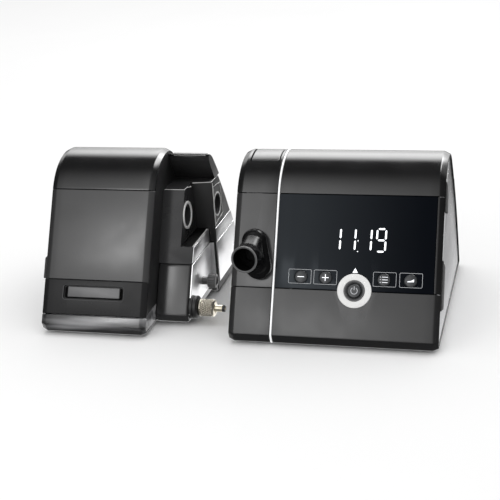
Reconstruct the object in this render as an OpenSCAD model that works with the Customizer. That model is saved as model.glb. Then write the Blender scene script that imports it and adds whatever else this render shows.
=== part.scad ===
// Bedside positive-airway-pressure ventilator with its docking humidifier.
// +X is the docking direction, +Y runs to the rear, +Z is up. The origin is the middle of the footprint.

/* [Ventilator] */
// Width of the ventilator
dev_w = 170; // [165:1:180]
// Height of both modules
dev_h = 135; // [133:1:138]
// Lean of the front face, measured up from the table
front_lean = 61; // [60:0.5:62]
// Wall thickness of the outer panels
wall = 3; // [2.5:0.1:3.2]
// Seam between neighbouring panels
seam = 0.3; // [0.2:0.05:0.5]
// Height of the rubber feet below the base
foot_h = 1.5; // [1:0.1:2]

/* [Column and outlet] */
// Width of the left column that carries the outlet
column_w = 35; // [34:0.5:36]
// Width of the light stripe
stripe_w = 1.6; // [1.2:0.1:2]
// Outer radius of the outlet cone
outlet_r = 11; // [10.5:0.1:11.5]

/* [Humidifier] */
// Width of the humidifier's main body
hum_w = 93.5; // [92:0.5:95]
// Gap between the two modules when undocked
dock_gap = 71.2; // [68:0.2:75]
// How far the docking block stands out at its front part
block_front_w = 30.5; // [30:0.5:31]
// How far the docking block stands out at its rear part
block_rear_w = 36.5; // [36:0.5:37]
// Setback of the docking block behind the front face
block_setback = 24; // [23.5:0.5:25]

/* [Controls] */
// Radius of a key cap
key_r = 5.2; // [4.8:0.1:5.4]
// Outer radius of the lit ring around the power button
ring_r = 13.7; // [13:0.1:14]
// Clearance around moving pieces
play = 0.3; // [0.2:0.05:0.4]

/* [Hidden] */
$fn = 64;
eps = 0.01;

// Side outline: straight leaning front, rounded cap, short crest and long rear curve.
toe_h = 9.6;
toe_back = 2.8;
cap_r = 46.4;
crest_r = 26;
crest_turn = 50;
rear_r = 397;
cap_steps = 12;
crest_steps = 8;
rear_steps = 8;
front_out = [-sin(front_lean), cos(front_lean)];
cap_y = (cap_r + (dev_h - cap_r - toe_h) * cos(front_lean)) / sin(front_lean);
cap_c = [cap_y, dev_h - cap_r];
crest_c = [cap_y, dev_h - crest_r];
rear_c = crest_c - (rear_r - crest_r) * [sin(crest_turn), cos(crest_turn)];
toe_len = norm([toe_back, toe_h - foot_h]);
toe_out = -[toe_h - foot_h, toe_back] / toe_len;

// Seams along the front face, as distance up the face, and height of the rear seam
cap_seam = (111.1 - toe_h) / sin(front_lean);
low_seam = (43.5 - toe_h) / sin(front_lean);
rear_seam_z = 100;
tank_seam_z = 17.5;
block_seam_z = 48.5;

// Main places along X
hum_right = -dock_gap;
hum_left = hum_right - hum_w;
latch_proud = 3.3;
face_front_x = hum_right + block_front_w;
face_rear_x = hum_right + block_rear_w;
face_port_x = hum_right + 18.5;
liner_x = block_rear_w + 0.3;
liner_t = 2.2;
main_x = column_w + stripe_w;
depth = rear_c[0] + sqrt(pow(rear_r, 2) - pow(foot_h - rear_c[1], 2));
x_middle = (dev_w + hum_left - latch_proud) / 2;

// Docking ports, plug and knob, as [Y, Z]
port_front = [81, 81];
port_rear = [112.9, 80.5];
port_step_y = 101.7;
port_r = 9.5;
ledge_z = 104;
rim_z = 61.2;
plug_at = [39, 13.5];
knob_at = [72, 24];

// Controls on the front face, as [X, distance up the face]
key_s = 48.6;
ring_at = [102, 39];
swivel_at = [24, 55.2];
bulb_at = [19.5, 75.3];
outlet_mouth = [17.4, 4.6, 73.1];
outlet_dir = [-0.0866, -0.9851, 0.1486];

function turn(c, r, a) = c + r * [sin(a), cos(a)];
function arc(c, r, a0, a1, steps) =
  [for (i = [0:steps]) turn(c, r, a0 + (a1 - a0) * i / steps)];
function rear_angle(z, inset = 0) = acos((z - rear_c[1]) / (rear_r - inset));
function rear_y(z) = rear_c[0] + rear_r * sin(rear_angle(z));
function face_pt(s, inset = 0) =
  [s * cos(front_lean), toe_h + s * sin(front_lean)] - inset * front_out;
function toe_pt(inset) =
  [0, toe_h] - inset * (front_out + toe_out) / (1 + front_out * toe_out);

module place() {
  translate([-x_middle, -depth / 2, 0]) children();
}

// Closed side outline, moved inwards by inset
module outline(inset = 0) {
  floor_z = foot_h + inset;
  floor_y = toe_back - (inset + toe_out[1] * inset) / toe_out[0];
  toe = toe_pt(inset);
  lean_s = (floor_z - toe_h + inset * cos(front_lean)) / sin(front_lean);
  polygon(concat(
    toe[1] > floor_z + 0.5 ? [[floor_y, floor_z], toe] : [face_pt(lean_s, inset)],
    arc(cap_c, cap_r - inset, -front_lean, 0, cap_steps),
    arc(crest_c, crest_r - inset, crest_turn / crest_steps, crest_turn, crest_steps - 1),
    arc(rear_c, rear_r - inset, crest_turn + 2, rear_angle(floor_z, inset), rear_steps)
  ));
}

module band(outer = 0, inner = wall) {
  difference() {
    outline(outer);
    outline(inner);
  }
}

// Extrudes a side outline along X
module slab(x0, x1) {
  translate([x0, 0, 0]) rotate([90, 0, 90]) linear_extrude(x1 - x0) children();
}

module face_strip(s0, s1, depth0 = -5, depth1 = 9) {
  polygon([face_pt(s0, depth0), face_pt(s1, depth0), face_pt(s1, depth1), face_pt(s0, depth1)]);
}

module window(y0, y1, z0, z1) {
  translate([y0, z0]) square([y1 - y0, z1 - z0]);
}

// Everything above the cap seam, down to the rear seam behind
module above_cap_seam(shift) {
  polygon([
    face_pt(cap_seam + shift, -6), face_pt(cap_seam + shift, 14),
    [rear_y(rear_seam_z) - 14, rear_seam_z + shift], [260, rear_seam_z + shift],
    [260, 200], [-60, 200]
  ]);
}

// Frame on the front face: local z points out of the face, local y up the face
module at_face(x, s, lift = 0) {
  translate([x, face_pt(s, -lift)[0], face_pt(s, -lift)[1]])
    rotate([front_lean, 0, 0]) children();
}

// Frame on the rear surface: local z points out, local y down the slope
module at_rear(x, z) {
  translate([x, rear_y(z), z]) rotate([-rear_angle(z), 0, 0]) children();
}

// Cylinder from one point to another
module rod(from, to, r) {
  v = to - from;
  translate(from)
    rotate([0, acos(v[2] / norm(v)), atan2(v[1], v[0])])
      cylinder(h = norm(v), r = r);
}

module along_x(x0, x1, at, r) {
  translate([x0, at[0], at[1]]) rotate([0, 90, 0]) cylinder(h = x1 - x0, r = r);
}

module tube(r_out, r_in, h) {
  difference() {
    cylinder(h = h, r = r_out);
    translate([0, 0, -1]) cylinder(h = h + 2, r = r_in);
  }
}

module rounded_plate(w, l, h, r) {
  linear_extrude(h) {
    square([w - 2 * r, l], center = true);
    square([w, l - 2 * r], center = true);
    for (sx = [-1, 1], sy = [-1, 1])
      translate([sx * (w / 2 - r), sy * (l / 2 - r)]) circle(r);
  }
}

// ---------------------------------------------------------------- ventilator shell

screw_xy = [[70, 28], [158, 28], [50, 165], [158, 165]];
screw_head_r = 2.8;
screw_head_h = 1.5;
screw_shank_r = 1.25;
base_front_y = 8.4;
base_top = foot_h + wall;
post_r = 2.5;

module base_tray() color("#1b1b1d") {
  difference() {
    slab(liner_x, dev_w) intersection() {
      outline(0);
      window(base_front_y, 250, 0, base_top);
    }
    for (p = screw_xy) translate([p[0], p[1], 0]) {
      cylinder(h = foot_h + screw_head_h + 0.1, r = screw_head_r + play);
      cylinder(h = 10, r = screw_shank_r + 0.35);
    }
    device_foot_places() cylinder(h = foot_h + 1, r = foot_r + 0.1);
  }
  for (p = board_posts)
    translate([p[0], p[1], base_top - eps]) cylinder(h = board_z - base_top, r = post_r);
}

// Openings for the filter, the inlet and the card are cut through the rear wall
filter_x = 105;
filter_z = 62;
filter_w = 52;
filter_l = 44;
rear_cut = 16;
inlet_x = 60;
inlet_z = 24;
inlet_bore_r = 3.3;
inlet_bore_l = 8;
inlet_r = 6.4;
card_x = 148;
card_z = 30;
card_w = 24;
card_t = 2.1;
card_slot_w = 25.6;
card_slot_t = 4.4;

module rear_cover() color("#1b1b1d") difference() {
  slab(0, dev_w) intersection() {
    band();
    window(100, 260, base_top + seam, rear_seam_z - seam / 2);
  }
  at_rear(filter_x, filter_z) translate([0, 0, -rear_cut / 2])
    rounded_plate(filter_w + 2 * play, filter_l + 2 * play, rear_cut, 4);
  at_rear(inlet_x, inlet_z) translate([0, 0, -rear_cut / 2]) cylinder(h = rear_cut, r = inlet_r + 0.4);
  at_rear(card_x, card_z) cube([card_slot_w + 0.8, card_slot_t + 0.4, rear_cut], center = true);
}

module top_cap() color("#1b1b1d") slab(main_x + seam / 2, dev_w) intersection() {
  band();
  above_cap_seam(seam / 2);
}

module ring_hole() at_face(ring_at[0], ring_at[1], -20) cylinder(h = 30, r = ring_r + play);

module lower_panel() color("#1b1b1d") difference() {
  slab(main_x + seam / 2, dev_w) intersection() {
    band();
    face_strip(-20, low_seam - seam / 2, -5, 9);
  }
  ring_hole();
}

key_x = [58.4, 78.4, 125.2, 146.2];

module display_cover() color("#0c0f13") difference() {
  slab(main_x + seam / 2, dev_w) intersection() {
    band();
    face_strip(low_seam + seam / 2, cap_seam - seam / 2, -5, 9);
  }
  for (x = key_x) at_face(x, key_s, -20) cylinder(h = 30, r = key_r + play);
  ring_hole();
}

side_inset = wall + seam;
side_face_x = dev_w - 0.6;
grip_spans = [[104, 124], [26, 66]];
grip_depth = 16.8;

module grip_outline(margin) {
  front = side_inset + 1.2;
  for (g = grip_spans)
    face_strip(g[0] - margin, g[1] + margin, front - margin, front + grip_depth + margin);
}

module right_side_panel() color("#c9cbcd") difference() {
  slab(side_face_x - 2.8, side_face_x) outline(side_inset);
  slab(side_face_x - 1.4, dev_w) grip_outline(0.1);
}

module side_grips() color("#101010")
  slab(side_face_x - 1.3, side_face_x + 0.4) grip_outline(0);

// Inner frame: a rib behind the right panel and rails that carry the base screws
frame_x = dev_w - 9;
rail_from = liner_x + liner_t + seam;

module inner_frame() color("#3a3d40") difference() {
  union() {
    slab(frame_x, frame_x + 3) band(side_inset, side_inset + 5);
    for (p = screw_xy) if (p[0] < dev_w / 2)
      translate([p[0] - 6, p[1] - 4, base_top + seam]) cube([frame_x - p[0] + 7, 8, 5]);
    translate([rail_from, 93, dev_h - 9.5]) cube([frame_x - rail_from + 1, 7, 4.6]);
  }
  for (p = screw_xy) translate([p[0], p[1], 0]) cylinder(h = 20, r = screw_shank_r + 0.05);
}

// ---------------------------------------------------------------- column

column_back = 21.5;

module column_lower() color("#1b1b1d") slab(0, column_w - seam / 2) intersection() {
  band();
  face_strip(-20, low_seam - seam / 2, -5, 9);
}

module column_panel() color("#2b2c2f") difference() {
  slab(0, column_w - seam / 2) intersection() {
    band();
    face_strip(low_seam + seam / 2, cap_seam - seam / 2, -5, 9);
  }
  at_face(swivel_at[0], swivel_at[1], -20) cylinder(h = 30, r = spigot_r + 0.8);
}

release_x = [7.5, 32.5];
release_y = [79, 108];

module column_cap() color("#1b1b1d") difference() {
  slab(0, column_w - seam / 2) intersection() {
    band();
    above_cap_seam(seam / 2);
  }
  translate([release_x[0] - play, release_y[0] - play, dev_h - 20])
    cube([release_x[1] - release_x[0] + 2 * play, release_y[1] - release_y[0] + 2 * play, 30]);
}

module release_button() color("#26272a") slab(release_x[0], release_x[1]) intersection() {
  band(0, wall);
  window(release_y[0], release_y[1], dev_h - 20, dev_h + 5);
}

// Column core: side wall, back wall and the duct that carries air from the front port to the outlet
spigot_r = 9;
duct_y = [62, 100.7];
duct_z = [62.5, 102.5];

module column_core() color("#17181a") difference() {
  union() {
    slab(0.6, 3) intersection() {
      outline(side_inset);
      face_strip(-20, 140, side_inset, column_back);
      window(base_front_y, 250, 0, 250);
    }
    slab(2.9, column_w + stripe_w - 0.2) intersection() {
      outline(side_inset);
      face_strip(-20, 108, column_back - 2.5, column_back);
      window(base_front_y, 250, 0, 250);
    }
    slab(12, column_w + stripe_w - 0.2) intersection() {
      outline(side_inset);
      face_strip(42, 92, side_inset + 1.7, column_back);
    }
    translate([18.9, duct_y[0], duct_z[0]])
      cube([main_x - 0.2 - 18.9, duct_y[1] - duct_y[0], duct_z[1] - duct_z[0]]);
  }
  at_face(swivel_at[0], swivel_at[1], -17) cylinder(h = 20, r = spigot_r + 0.06);
  rod(duct_point(swivel_at[1]), duct_point(80), 6.5);
  rod(duct_point(74), [duct_x, 84, 76], 6.5);
  along_x(18, 27, port_front, port_r);
}

duct_x = 27;
function duct_point(s) = [duct_x, face_pt(s, 13)[0], face_pt(s, 13)[1]];

// Wall between the docking bay and the works, with openings for the rear port, the plug and the knob
module dock_liner() color("#222326") difference() {
  slab(liner_x, liner_x + liner_t) intersection() {
    outline(side_inset);
    window(0, 250, base_top + seam, 250);
  }
  along_x(liner_x - 1, liner_x + 5, port_rear, port_r);
  along_x(liner_x - 1, liner_x + 5, plug_at, 8.4);
  along_x(liner_x - 1, liner_x + 5, knob_at, 10);
}

module light_stripe() color("#f4f6f8") slab(column_w + seam / 2, main_x - seam / 2) intersection() {
  band(-0.15, wall);
  union() {
    face_strip(-20, cap_seam + 1, -5, 9);
    above_cap_seam(0);
  }
}

// Outlet elbow: a swivelling capsule with the 22 mm cone standing out of it on a neck
elbow_lift = 0.4;
elbow_h = 10.8;
bulb_r = 10.5;
cone_len = 12;
cone_bore_r = 9.2;
neck_at = [21.8, 64.5];
neck_r = 7.4;
neck_bore_r = 5.8;

module capsule(shift, r, h) linear_extrude(h) {
  circle(r);
  translate(shift) circle(r);
  rotate(atan2(shift[1], shift[0])) translate([0, -r]) square([norm(shift), 2 * r]);
}

module outlet_elbow() color("#0e0e10") {
  neck_root = [neck_at[0], face_pt(neck_at[1], -6)[0], face_pt(neck_at[1], -6)[1]];
  difference() {
    union() {
      at_face(swivel_at[0], swivel_at[1], elbow_lift) {
        capsule(bulb_at - swivel_at, bulb_r, elbow_h);
        translate([0, 0, -15]) cylinder(h = 15.5, r = spigot_r);
      }
      rod(neck_root, outlet_mouth - (cone_len - 1) * outlet_dir, neck_r);
      rod(outlet_mouth - cone_len * outlet_dir, outlet_mouth, outlet_r);
    }
    rod(outlet_mouth - (cone_len - 2) * outlet_dir, outlet_mouth + 3 * outlet_dir, cone_bore_r);
    rod(neck_root, outlet_mouth - (cone_len - 3) * outlet_dir, neck_bore_r);
    at_face(swivel_at[0], swivel_at[1], elbow_lift)
      translate([0, 0, -16]) cylinder(h = 24, r = 7.4);
  }
}

// ---------------------------------------------------------------- controls

module key(x) at_face(x, key_s) {
  translate([0, 0, -3.6]) cylinder(h = 4.0, r = key_r);
  translate([0, 0, 0.3]) cylinder(h = 0.9, r1 = key_r, r2 = key_r - 1.4);
  translate([0, 0, -4.6]) cylinder(h = 1.1, r = key_r + 1);
}

module minus_key() color("#1f2328") key(key_x[0]);
module plus_key() color("#1f2328") key(key_x[1]);
module list_key() color("#1f2328") key(key_x[2]);
module ramp_key() color("#1f2328") key(key_x[3]);

bezel_r = 8.4;
power_r = 5.4;

module power_ring() color("#f4f6f8") at_face(ring_at[0], ring_at[1])
  translate([0, 0, -3]) tube(ring_r, bezel_r + 0.2, 3.4);

module power_bezel() color("#8b8f93") at_face(ring_at[0], ring_at[1])
  translate([0, 0, -3]) tube(bezel_r, power_r + play, 3.1);

module power_button() color("#b9bcbf") at_face(ring_at[0], ring_at[1]) {
  translate([0, 0, -3.2]) cylinder(h = 3.9, r = power_r);
  translate([0, 0, -4.4]) cylinder(h = 1.2, r = power_r + 1.2);
}

module display_module() color("#2e3a44") at_face(106, 79, -6.4)
  translate([-26, -17, 0]) cube([52, 34, 2.8]);

board_z = 12;
board_posts = [[66, 46], [154, 46], [66, 66], [154, 66]];

module display_board() color("#1e5a3c") at_face(102, 74, -9.4)
  translate([-58, -32, 0]) cube([116, 64, 1.6]);

module main_board() color("#1e5a3c") {
  translate([63, 42, board_z]) cube([97, 28, 1.6]);
  for (i = [0:3]) translate([70 + 22 * i, 50, board_z + 1.5]) cube([12, 12, 3]);
}

module plug_socket() color("#2a2a2c") difference() {
  translate([liner_x + liner_t + 0.2, plug_at[0] - 9.6, base_top + 0.3]) cube([23, 19.2, 18.5]);
  along_x(liner_x, liner_x + 15, plug_at, 8.4);
  along_x(liner_x, liner_x + 22.5, plug_at, 3.2);
}

// ---------------------------------------------------------------- blower and air path

blower_at = [105, 104];
blower_r = 30;
scroll_z = [21, 44];

module at_blower(z) {
  translate([blower_at[0], blower_at[1], z]) children();
}

module blower_housing() color("#d8d9d6") difference() {
  union() {
    at_blower(scroll_z[0]) cylinder(h = scroll_z[1] - scroll_z[0], r = blower_r);
    along_x(70, 90, [port_rear[0], 33], 9);
  }
  at_blower(scroll_z[0] + 2) cylinder(h = 40, r = blower_r - 2.5);
  at_blower(0) cylinder(h = 40, r = 6);
  along_x(69, 92, [port_rear[0], 33], 7);
}

module blower_lid() color("#d8d9d6") at_blower(scroll_z[1] + 0.1) {
  tube(blower_r, 11, 2.5);
  tube(13, 11, 5);
}

module blower_motor() color("#8e9094") at_blower(9.2) difference() {
  cylinder(h = 11.6, r = 19);
  translate([0, 0, -1]) cylinder(h = 14, r = 5.5);
}

module blower_bearings() color("#c8cacc") for (z = [9.4, 17]) at_blower(z) tube(5.45, 2.03, 3);

module impeller() color("#efefec") at_blower(0) {
  translate([0, 0, 9.6]) cylinder(h = 28, r = 2);
  translate([0, 0, 25]) cylinder(h = 2, r = 25);
  translate([0, 0, 26.5]) cylinder(h = 10, r = 5);
  for (i = [0:8]) rotate([0, 0, 40 * i]) translate([4, -0.6, 26.5]) cube([20.5, 1.2, 11]);
}

module blower_cushions() color("#5a5d60")
  for (a = [45:90:315]) at_blower(base_top + 0.1)
    rotate([0, 0, a]) translate([14, 0, 0]) cylinder(h = 4.5, r = 4);

riser_x = [50, 68];

module air_duct() color("#cfd1d2") difference() {
  union() {
    translate([riser_x[0], port_rear[0] - 9, 23]) cube([riser_x[1] - riser_x[0], 18, 68]);
    along_x(liner_x + liner_t + 0.3, riser_x[0] + 1, port_rear, 11);
  }
  along_x(0, 59, port_rear, 8);
  translate([59, port_rear[0], 33]) cylinder(h = 47.5, r = 7);
  along_x(59, 80, [port_rear[0], 33], 7);
}

module silencer_foam() color("#4a4c4f") difference() {
  translate([74, 78, 52]) cube([64, 46, 36]);
  at_blower(40) cylinder(h = 60, r = 12);
}

module filter_frame() color("#3a3d40") at_rear(filter_x, filter_z) translate([0, 0, -14]) difference() {
  rounded_plate(filter_w + 4, filter_l + 4, 10, 5);
  translate([0, 0, 2]) rounded_plate(filter_w - 1, filter_l - 1, 12, 3);
  for (i = [-2:2]) translate([i * 9 - 3, -17, -1]) cube([6, 34, 5]);
}

module coarse_filter() color("#2c2e30") at_rear(filter_x, filter_z) translate([0, 0, -8.6])
  rounded_plate(filter_w - 2, filter_l - 2, 4, 2.5);

module fine_filter() color("#f0f0ea") at_rear(filter_x, filter_z) translate([0, 0, -11.6])
  rounded_plate(filter_w - 2, filter_l - 2, 2.6, 2.5);

module filter_cover() color("#1b1b1d") at_rear(filter_x, filter_z) translate([0, 0, -3.4]) difference() {
  rounded_plate(filter_w, filter_l, 3.2, 3.7);
  for (i = [-3:3]) translate([-19, i * 5 - 0.9, -1]) cube([38, 1.8, 6]);
}

module power_inlet() color("#2a2a2c") at_rear(inlet_x, inlet_z) {
  difference() {
    union() {
      translate([0, 0, -18]) cylinder(h = 17.6, r = inlet_r);
      translate([0, 0, -18]) cylinder(h = 10, r = 7.8);
    }
    translate([0, 0, -0.4 - inlet_bore_l]) cylinder(h = 20, r = inlet_bore_r);
    translate([0, 0, -12]) cylinder(h = 5, r = 2.2);
  }
  translate([0, 0, -12.5]) cylinder(h = 3.5, r = 0.9);
}

module card_slot() color("#4d5054") at_rear(card_x, card_z) difference() {
  translate([-card_slot_w / 2, -card_slot_t / 2, -36]) cube([card_slot_w, card_slot_t, 35]);
  translate([-card_w / 2 - 0.2, -card_t / 2 - 0.25, -34]) cube([card_w + 0.4, card_t + 0.5, 40]);
}

module memory_card() color("#1d4e89") at_rear(card_x, card_z) difference() {
  translate([-card_w / 2, -card_t / 2, -32.5]) cube([card_w, card_t, 32]);
  translate([8, -2, -33]) rotate([0, 45, 0]) cube([4, 4, 8]);
}

foot_r = 5;

module device_foot_places() {
  for (p = [[48, 18], [160, 18], [48, 176], [160, 176]]) translate([p[0], p[1], 0]) children();
}

module device_feet() color("#3c3c3e") device_foot_places() cylinder(h = foot_h + 0.9, r = foot_r);

module device_screws() color("#9a9da0") for (p = screw_xy) translate([p[0], p[1], foot_h]) {
  cylinder(h = screw_head_h, r = screw_head_r);
  translate([0, 0, screw_head_h - 0.1]) cylinder(h = 6.5, r = screw_shank_r);
}

// ---------------------------------------------------------------- humidifier

tank_wall = 2.5;
basin_inset = 7;
basin_z = 42;
block_inset = 9;

// Side outline of the docking block between two heights
module block_outline(z0, z1, y0 = 0, y1 = 250, shrink = 0) intersection() {
  face_strip(-60, 250, block_setback + shrink, 300);
  outline(block_inset + shrink);
  window(y0, y1, z0, z1);
}

block_floor = block_inset + foot_h;
low_block_z = 2.5;

// The block runs lower than the inset outline, so its foot is added below it
module low_block_outline(z1, y0 = 0, y1 = 250, shrink = 0) {
  intersection() {
    face_strip(-60, 250, block_setback + shrink, 300);
    window(y0, y1, low_block_z + shrink, z1);
    union() {
      outline(block_inset + shrink);
      window(20, rear_y(block_floor) - block_inset - shrink - 4, 0, block_floor + shrink + 6);
    }
  }
}

module water_tank() color("#6d7073") difference() {
  union() {
    slab(hum_left, hum_right) intersection() {
      outline(0);
      window(-5, 250, 0, tank_seam_z - seam / 2);
    }
    slab(hum_left + 5, hum_right - 3.8) intersection() {
      outline(basin_inset);
      window(-5, 250, tank_seam_z - 1, basin_z);
    }
    slab(hum_right - 4.3, face_front_x - 1.2) low_block_outline(block_seam_z - seam / 2);
    slab(face_front_x - 2, face_rear_x - 1.2) low_block_outline(block_seam_z - seam / 2, port_step_y);
  }
  slab(hum_left + tank_wall, hum_right - tank_wall) intersection() {
    outline(tank_wall);
    window(-5, 250, 0, tank_seam_z - seam / 2 - tank_wall);
  }
  slab(hum_left + 5 + tank_wall, hum_right - 3.8 - tank_wall) intersection() {
    outline(basin_inset + tank_wall);
    window(-5, 250, 4, 60);
  }
  slab(hum_right - 8, face_front_x - 1.2 - tank_wall)
    low_block_outline(60, 0, 250, tank_wall);
  along_x(face_front_x - 6, face_front_x + 1, plug_at, 4.1);
}

// Silver plates on the docking face, the lower on the tank and the upper on the hood
plate_t = 1.2;

module face_plate(z0, z1) {
  difference() {
    slab(face_front_x - plate_t, face_front_x) block_outline(z0, z1, 0, port_step_y);
    along_x(face_front_x - 5, face_front_x + 5, plug_at, 10.3);
    along_x(face_front_x - 5, face_front_x + 5, knob_at, 3.7);
  }
  slab(face_front_x - plate_t, face_rear_x)
    block_outline(z0, z1, port_step_y - plate_t, port_step_y - eps);
  slab(face_rear_x - plate_t, face_rear_x) block_outline(z0, z1, port_step_y - plate_t, 250);
}

module tank_plate() color("#c4c6c8") face_plate(block_floor + 0.1, block_seam_z - seam / 2);

module tank_seal() color("#2f3133") difference() {
  slab(hum_left + 5.4, hum_right - 4.5) intersection() {
    outline(basin_inset + 0.4);
    window(-5, 250, basin_z + 0.1, basin_z + 1.6);
  }
  slab(hum_left + 7.2, hum_right - 6) outline(basin_inset + 2.2);
}

module heater_rod() color("#b7babd") {
  along_x(hum_right - 2, face_front_x - 1.3, plug_at, 4);
}

module heater_plug() color("#141415") {
  along_x(face_front_x - 1.1, face_front_x + 6, plug_at, 10);
  along_x(face_front_x + 5.9, face_front_x + 28.5, plug_at, 2.8);
}

module collar_nut() color("#a89f88") difference() {
  along_x(face_front_x + 6.2, face_front_x + 20, plug_at, 7.3);
  along_x(face_front_x + 5, face_front_x + 21, plug_at, 2.85);
}

module dock_latch() color("#161618") {
  along_x(face_front_x - 1, face_front_x + 6, knob_at, 3.5);
  along_x(face_front_x + 5, face_front_x + 12.5, knob_at, 6.2);
  translate([face_front_x + 8, knob_at[0] - 1.4, knob_at[1] - 9]) cube([4.5, 2.8, 6]);
}

module tank_feet() color("#3c3c3e")
  for (x = [hum_left + 12, hum_right - 12], y = [16, 172])
    translate([x, y, 0]) cylinder(h = foot_h - 0.02, r = foot_r);

// ---------------------------------------------------------------- hood

handle_x = -119;
handle_s = 28;
handle_w = 55;
handle_l = 13;
button_at = [37.4, 47.5];
button_w = 12;
button_h = 16;
button_t = 5.9;

module hood_shell() color("#1b1b1d") difference() {
  slab(hum_left, hum_right) difference() {
    intersection() {
      outline(0);
      window(-5, 250, tank_seam_z + seam / 2, 250);
    }
    above_cap_seam(-seam / 2);
  }
  slab(hum_left + wall, hum_right - wall) outline(wall);
  slab(hum_left - 1, hum_right + 1) face_strip(low_seam - seam / 2, cap_seam + 10, -5, wall);
  slab(hum_right - wall - 1, hum_right + 1) low_block_outline(block_seam_z, 0, 250, -0.4);
  along_x(hum_right - wall - 1, hum_right + 1, port_front, port_r);
  along_x(hum_right - wall - 1, hum_right + 1, port_rear, port_r);
  at_face(handle_x, handle_s, -1.6) rounded_plate(handle_w, handle_l, 10, 2.5);
  at_face(handle_x, handle_s, -8) rounded_plate(handle_w - 6, handle_l - 4, 10, 2);
  translate([hum_left - 1, button_at[0] - button_w / 2 - play, button_at[1] - button_h / 2 - play])
    cube([wall + 2, button_w + 2 * play, button_h + 2 * play]);
}

module hood_front_panel() color("#26272a")
  slab(hum_left, hum_right) face_strip(low_seam + seam / 2, cap_seam - seam / 2, 0, wall - 0.2);

module hood_cap() color("#1b1b1d") difference() {
  slab(hum_left, hum_right) intersection() {
    outline(0);
    above_cap_seam(seam / 2);
  }
  slab(hum_left + wall, hum_right - wall) outline(wall);
}

block_z0 = block_seam_z + seam / 2;
block_top_z = 129.8;

// Wall behind the ledge leans forward, parallel to the rear slope
module ledge_recess() polygon([
  [40, ledge_z], [114, ledge_z], [101, ledge_z + 21], [101, 160], [40, 160]
]);

module port_block() color("#1d1e20") difference() {
  union() {
    slab(hum_right + 0.2, face_port_x) block_outline(block_z0, ledge_z);
    slab(face_port_x - 1, face_front_x - plate_t) block_outline(block_z0, rim_z, 0, port_step_y);
    slab(face_port_x - 1, face_rear_x - plate_t) block_outline(block_z0, ledge_z, port_step_y);
    slab(face_rear_x - 2, face_rear_x) block_outline(rim_z + 0.1, ledge_z, port_step_y);
    slab(hum_right + 0.2, face_rear_x - 1) difference() {
      intersection() {
        outline(5);
        window(90, 250, ledge_z - 1, block_top_z);
      }
      ledge_recess();
    }
  }
  along_x(hum_right, face_port_x + 2, port_front, port_r);
  along_x(hum_right, face_rear_x + 2, port_rear, port_r);
}

module hood_plate() color("#c4c6c8") face_plate(block_z0, rim_z);

module port_ring(x, at, r, t) {
  translate([x + 0.05, at[0], at[1]]) rotate([0, 90, 0]) tube(r, port_r, t);
}

module port_seals() color("#d9dad7") {
  port_ring(face_port_x, port_front, 12.2, 0.8);
  port_ring(face_rear_x, port_rear, 10.9, 0.2);
}

module front_handle() color("#3b3d40") at_face(handle_x, handle_s, -1.4)
  rounded_plate(handle_w - 5, handle_l - 3, 1.2, 1.5);

module side_button() color("#141416")
  translate([hum_left - latch_proud, button_at[0] - button_w / 2, button_at[1] - button_h / 2])
    cube([button_t, button_w, button_h]);

// ---------------------------------------------------------------- nodes

place() base_tray();
place() rear_cover();
place() top_cap();
place() lower_panel();
place() display_cover();
place() right_side_panel();
place() side_grips();
place() inner_frame();
place() column_lower();
place() column_panel();
place() column_cap();
place() column_core();
place() dock_liner();
place() light_stripe();
place() release_button();
place() outlet_elbow();
place() minus_key();
place() plus_key();
place() list_key();
place() ramp_key();
place() power_ring();
place() power_bezel();
place() power_button();
place() display_module();
place() display_board();
place() main_board();
place() plug_socket();
place() blower_housing();
place() blower_lid();
place() blower_motor();
place() blower_bearings();
place() blower_cushions();
place() impeller();
place() air_duct();
place() silencer_foam();
place() filter_frame();
place() coarse_filter();
place() fine_filter();
place() filter_cover();
place() power_inlet();
place() card_slot();
place() memory_card();
place() device_feet();
place() device_screws();
place() water_tank();
place() tank_seal();
place() tank_plate();
place() heater_rod();
place() heater_plug();
place() collar_nut();
place() dock_latch();
place() tank_feet();
place() hood_shell();
place() hood_front_panel();
place() hood_cap();
place() hood_plate();
place() port_block();
place() port_seals();
place() front_handle();
place() side_button();
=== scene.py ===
"""Looks for the bedside ventilator and its humidifier: shells, display glass, controls and docking face.

Lengths are millimetres from the ventilator's left front bottom corner; to_frame turns them into the shared
frame's metres. The distance s runs up the leaning front from the toe corner, u runs round the side outline.
"""

from math import acos, asin, atan2, cos, degrees, pi, radians, sin, sqrt, tan

import bmesh
import bpy
from mathutils import Matrix, Vector


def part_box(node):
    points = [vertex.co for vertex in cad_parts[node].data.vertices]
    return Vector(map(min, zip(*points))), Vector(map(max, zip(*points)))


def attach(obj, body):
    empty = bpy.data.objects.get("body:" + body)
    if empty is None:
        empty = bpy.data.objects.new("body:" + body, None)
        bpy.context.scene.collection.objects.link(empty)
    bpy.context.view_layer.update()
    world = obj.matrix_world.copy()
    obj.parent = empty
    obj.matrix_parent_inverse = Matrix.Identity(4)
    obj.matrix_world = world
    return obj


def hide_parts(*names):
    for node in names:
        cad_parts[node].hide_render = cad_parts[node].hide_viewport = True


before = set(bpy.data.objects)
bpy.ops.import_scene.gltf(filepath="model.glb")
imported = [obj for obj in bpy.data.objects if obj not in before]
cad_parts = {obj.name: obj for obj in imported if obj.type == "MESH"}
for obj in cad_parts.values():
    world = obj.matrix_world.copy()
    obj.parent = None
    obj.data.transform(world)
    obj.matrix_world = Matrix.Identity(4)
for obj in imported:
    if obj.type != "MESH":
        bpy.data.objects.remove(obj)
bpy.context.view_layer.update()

# ---------------- main sizes

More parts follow.
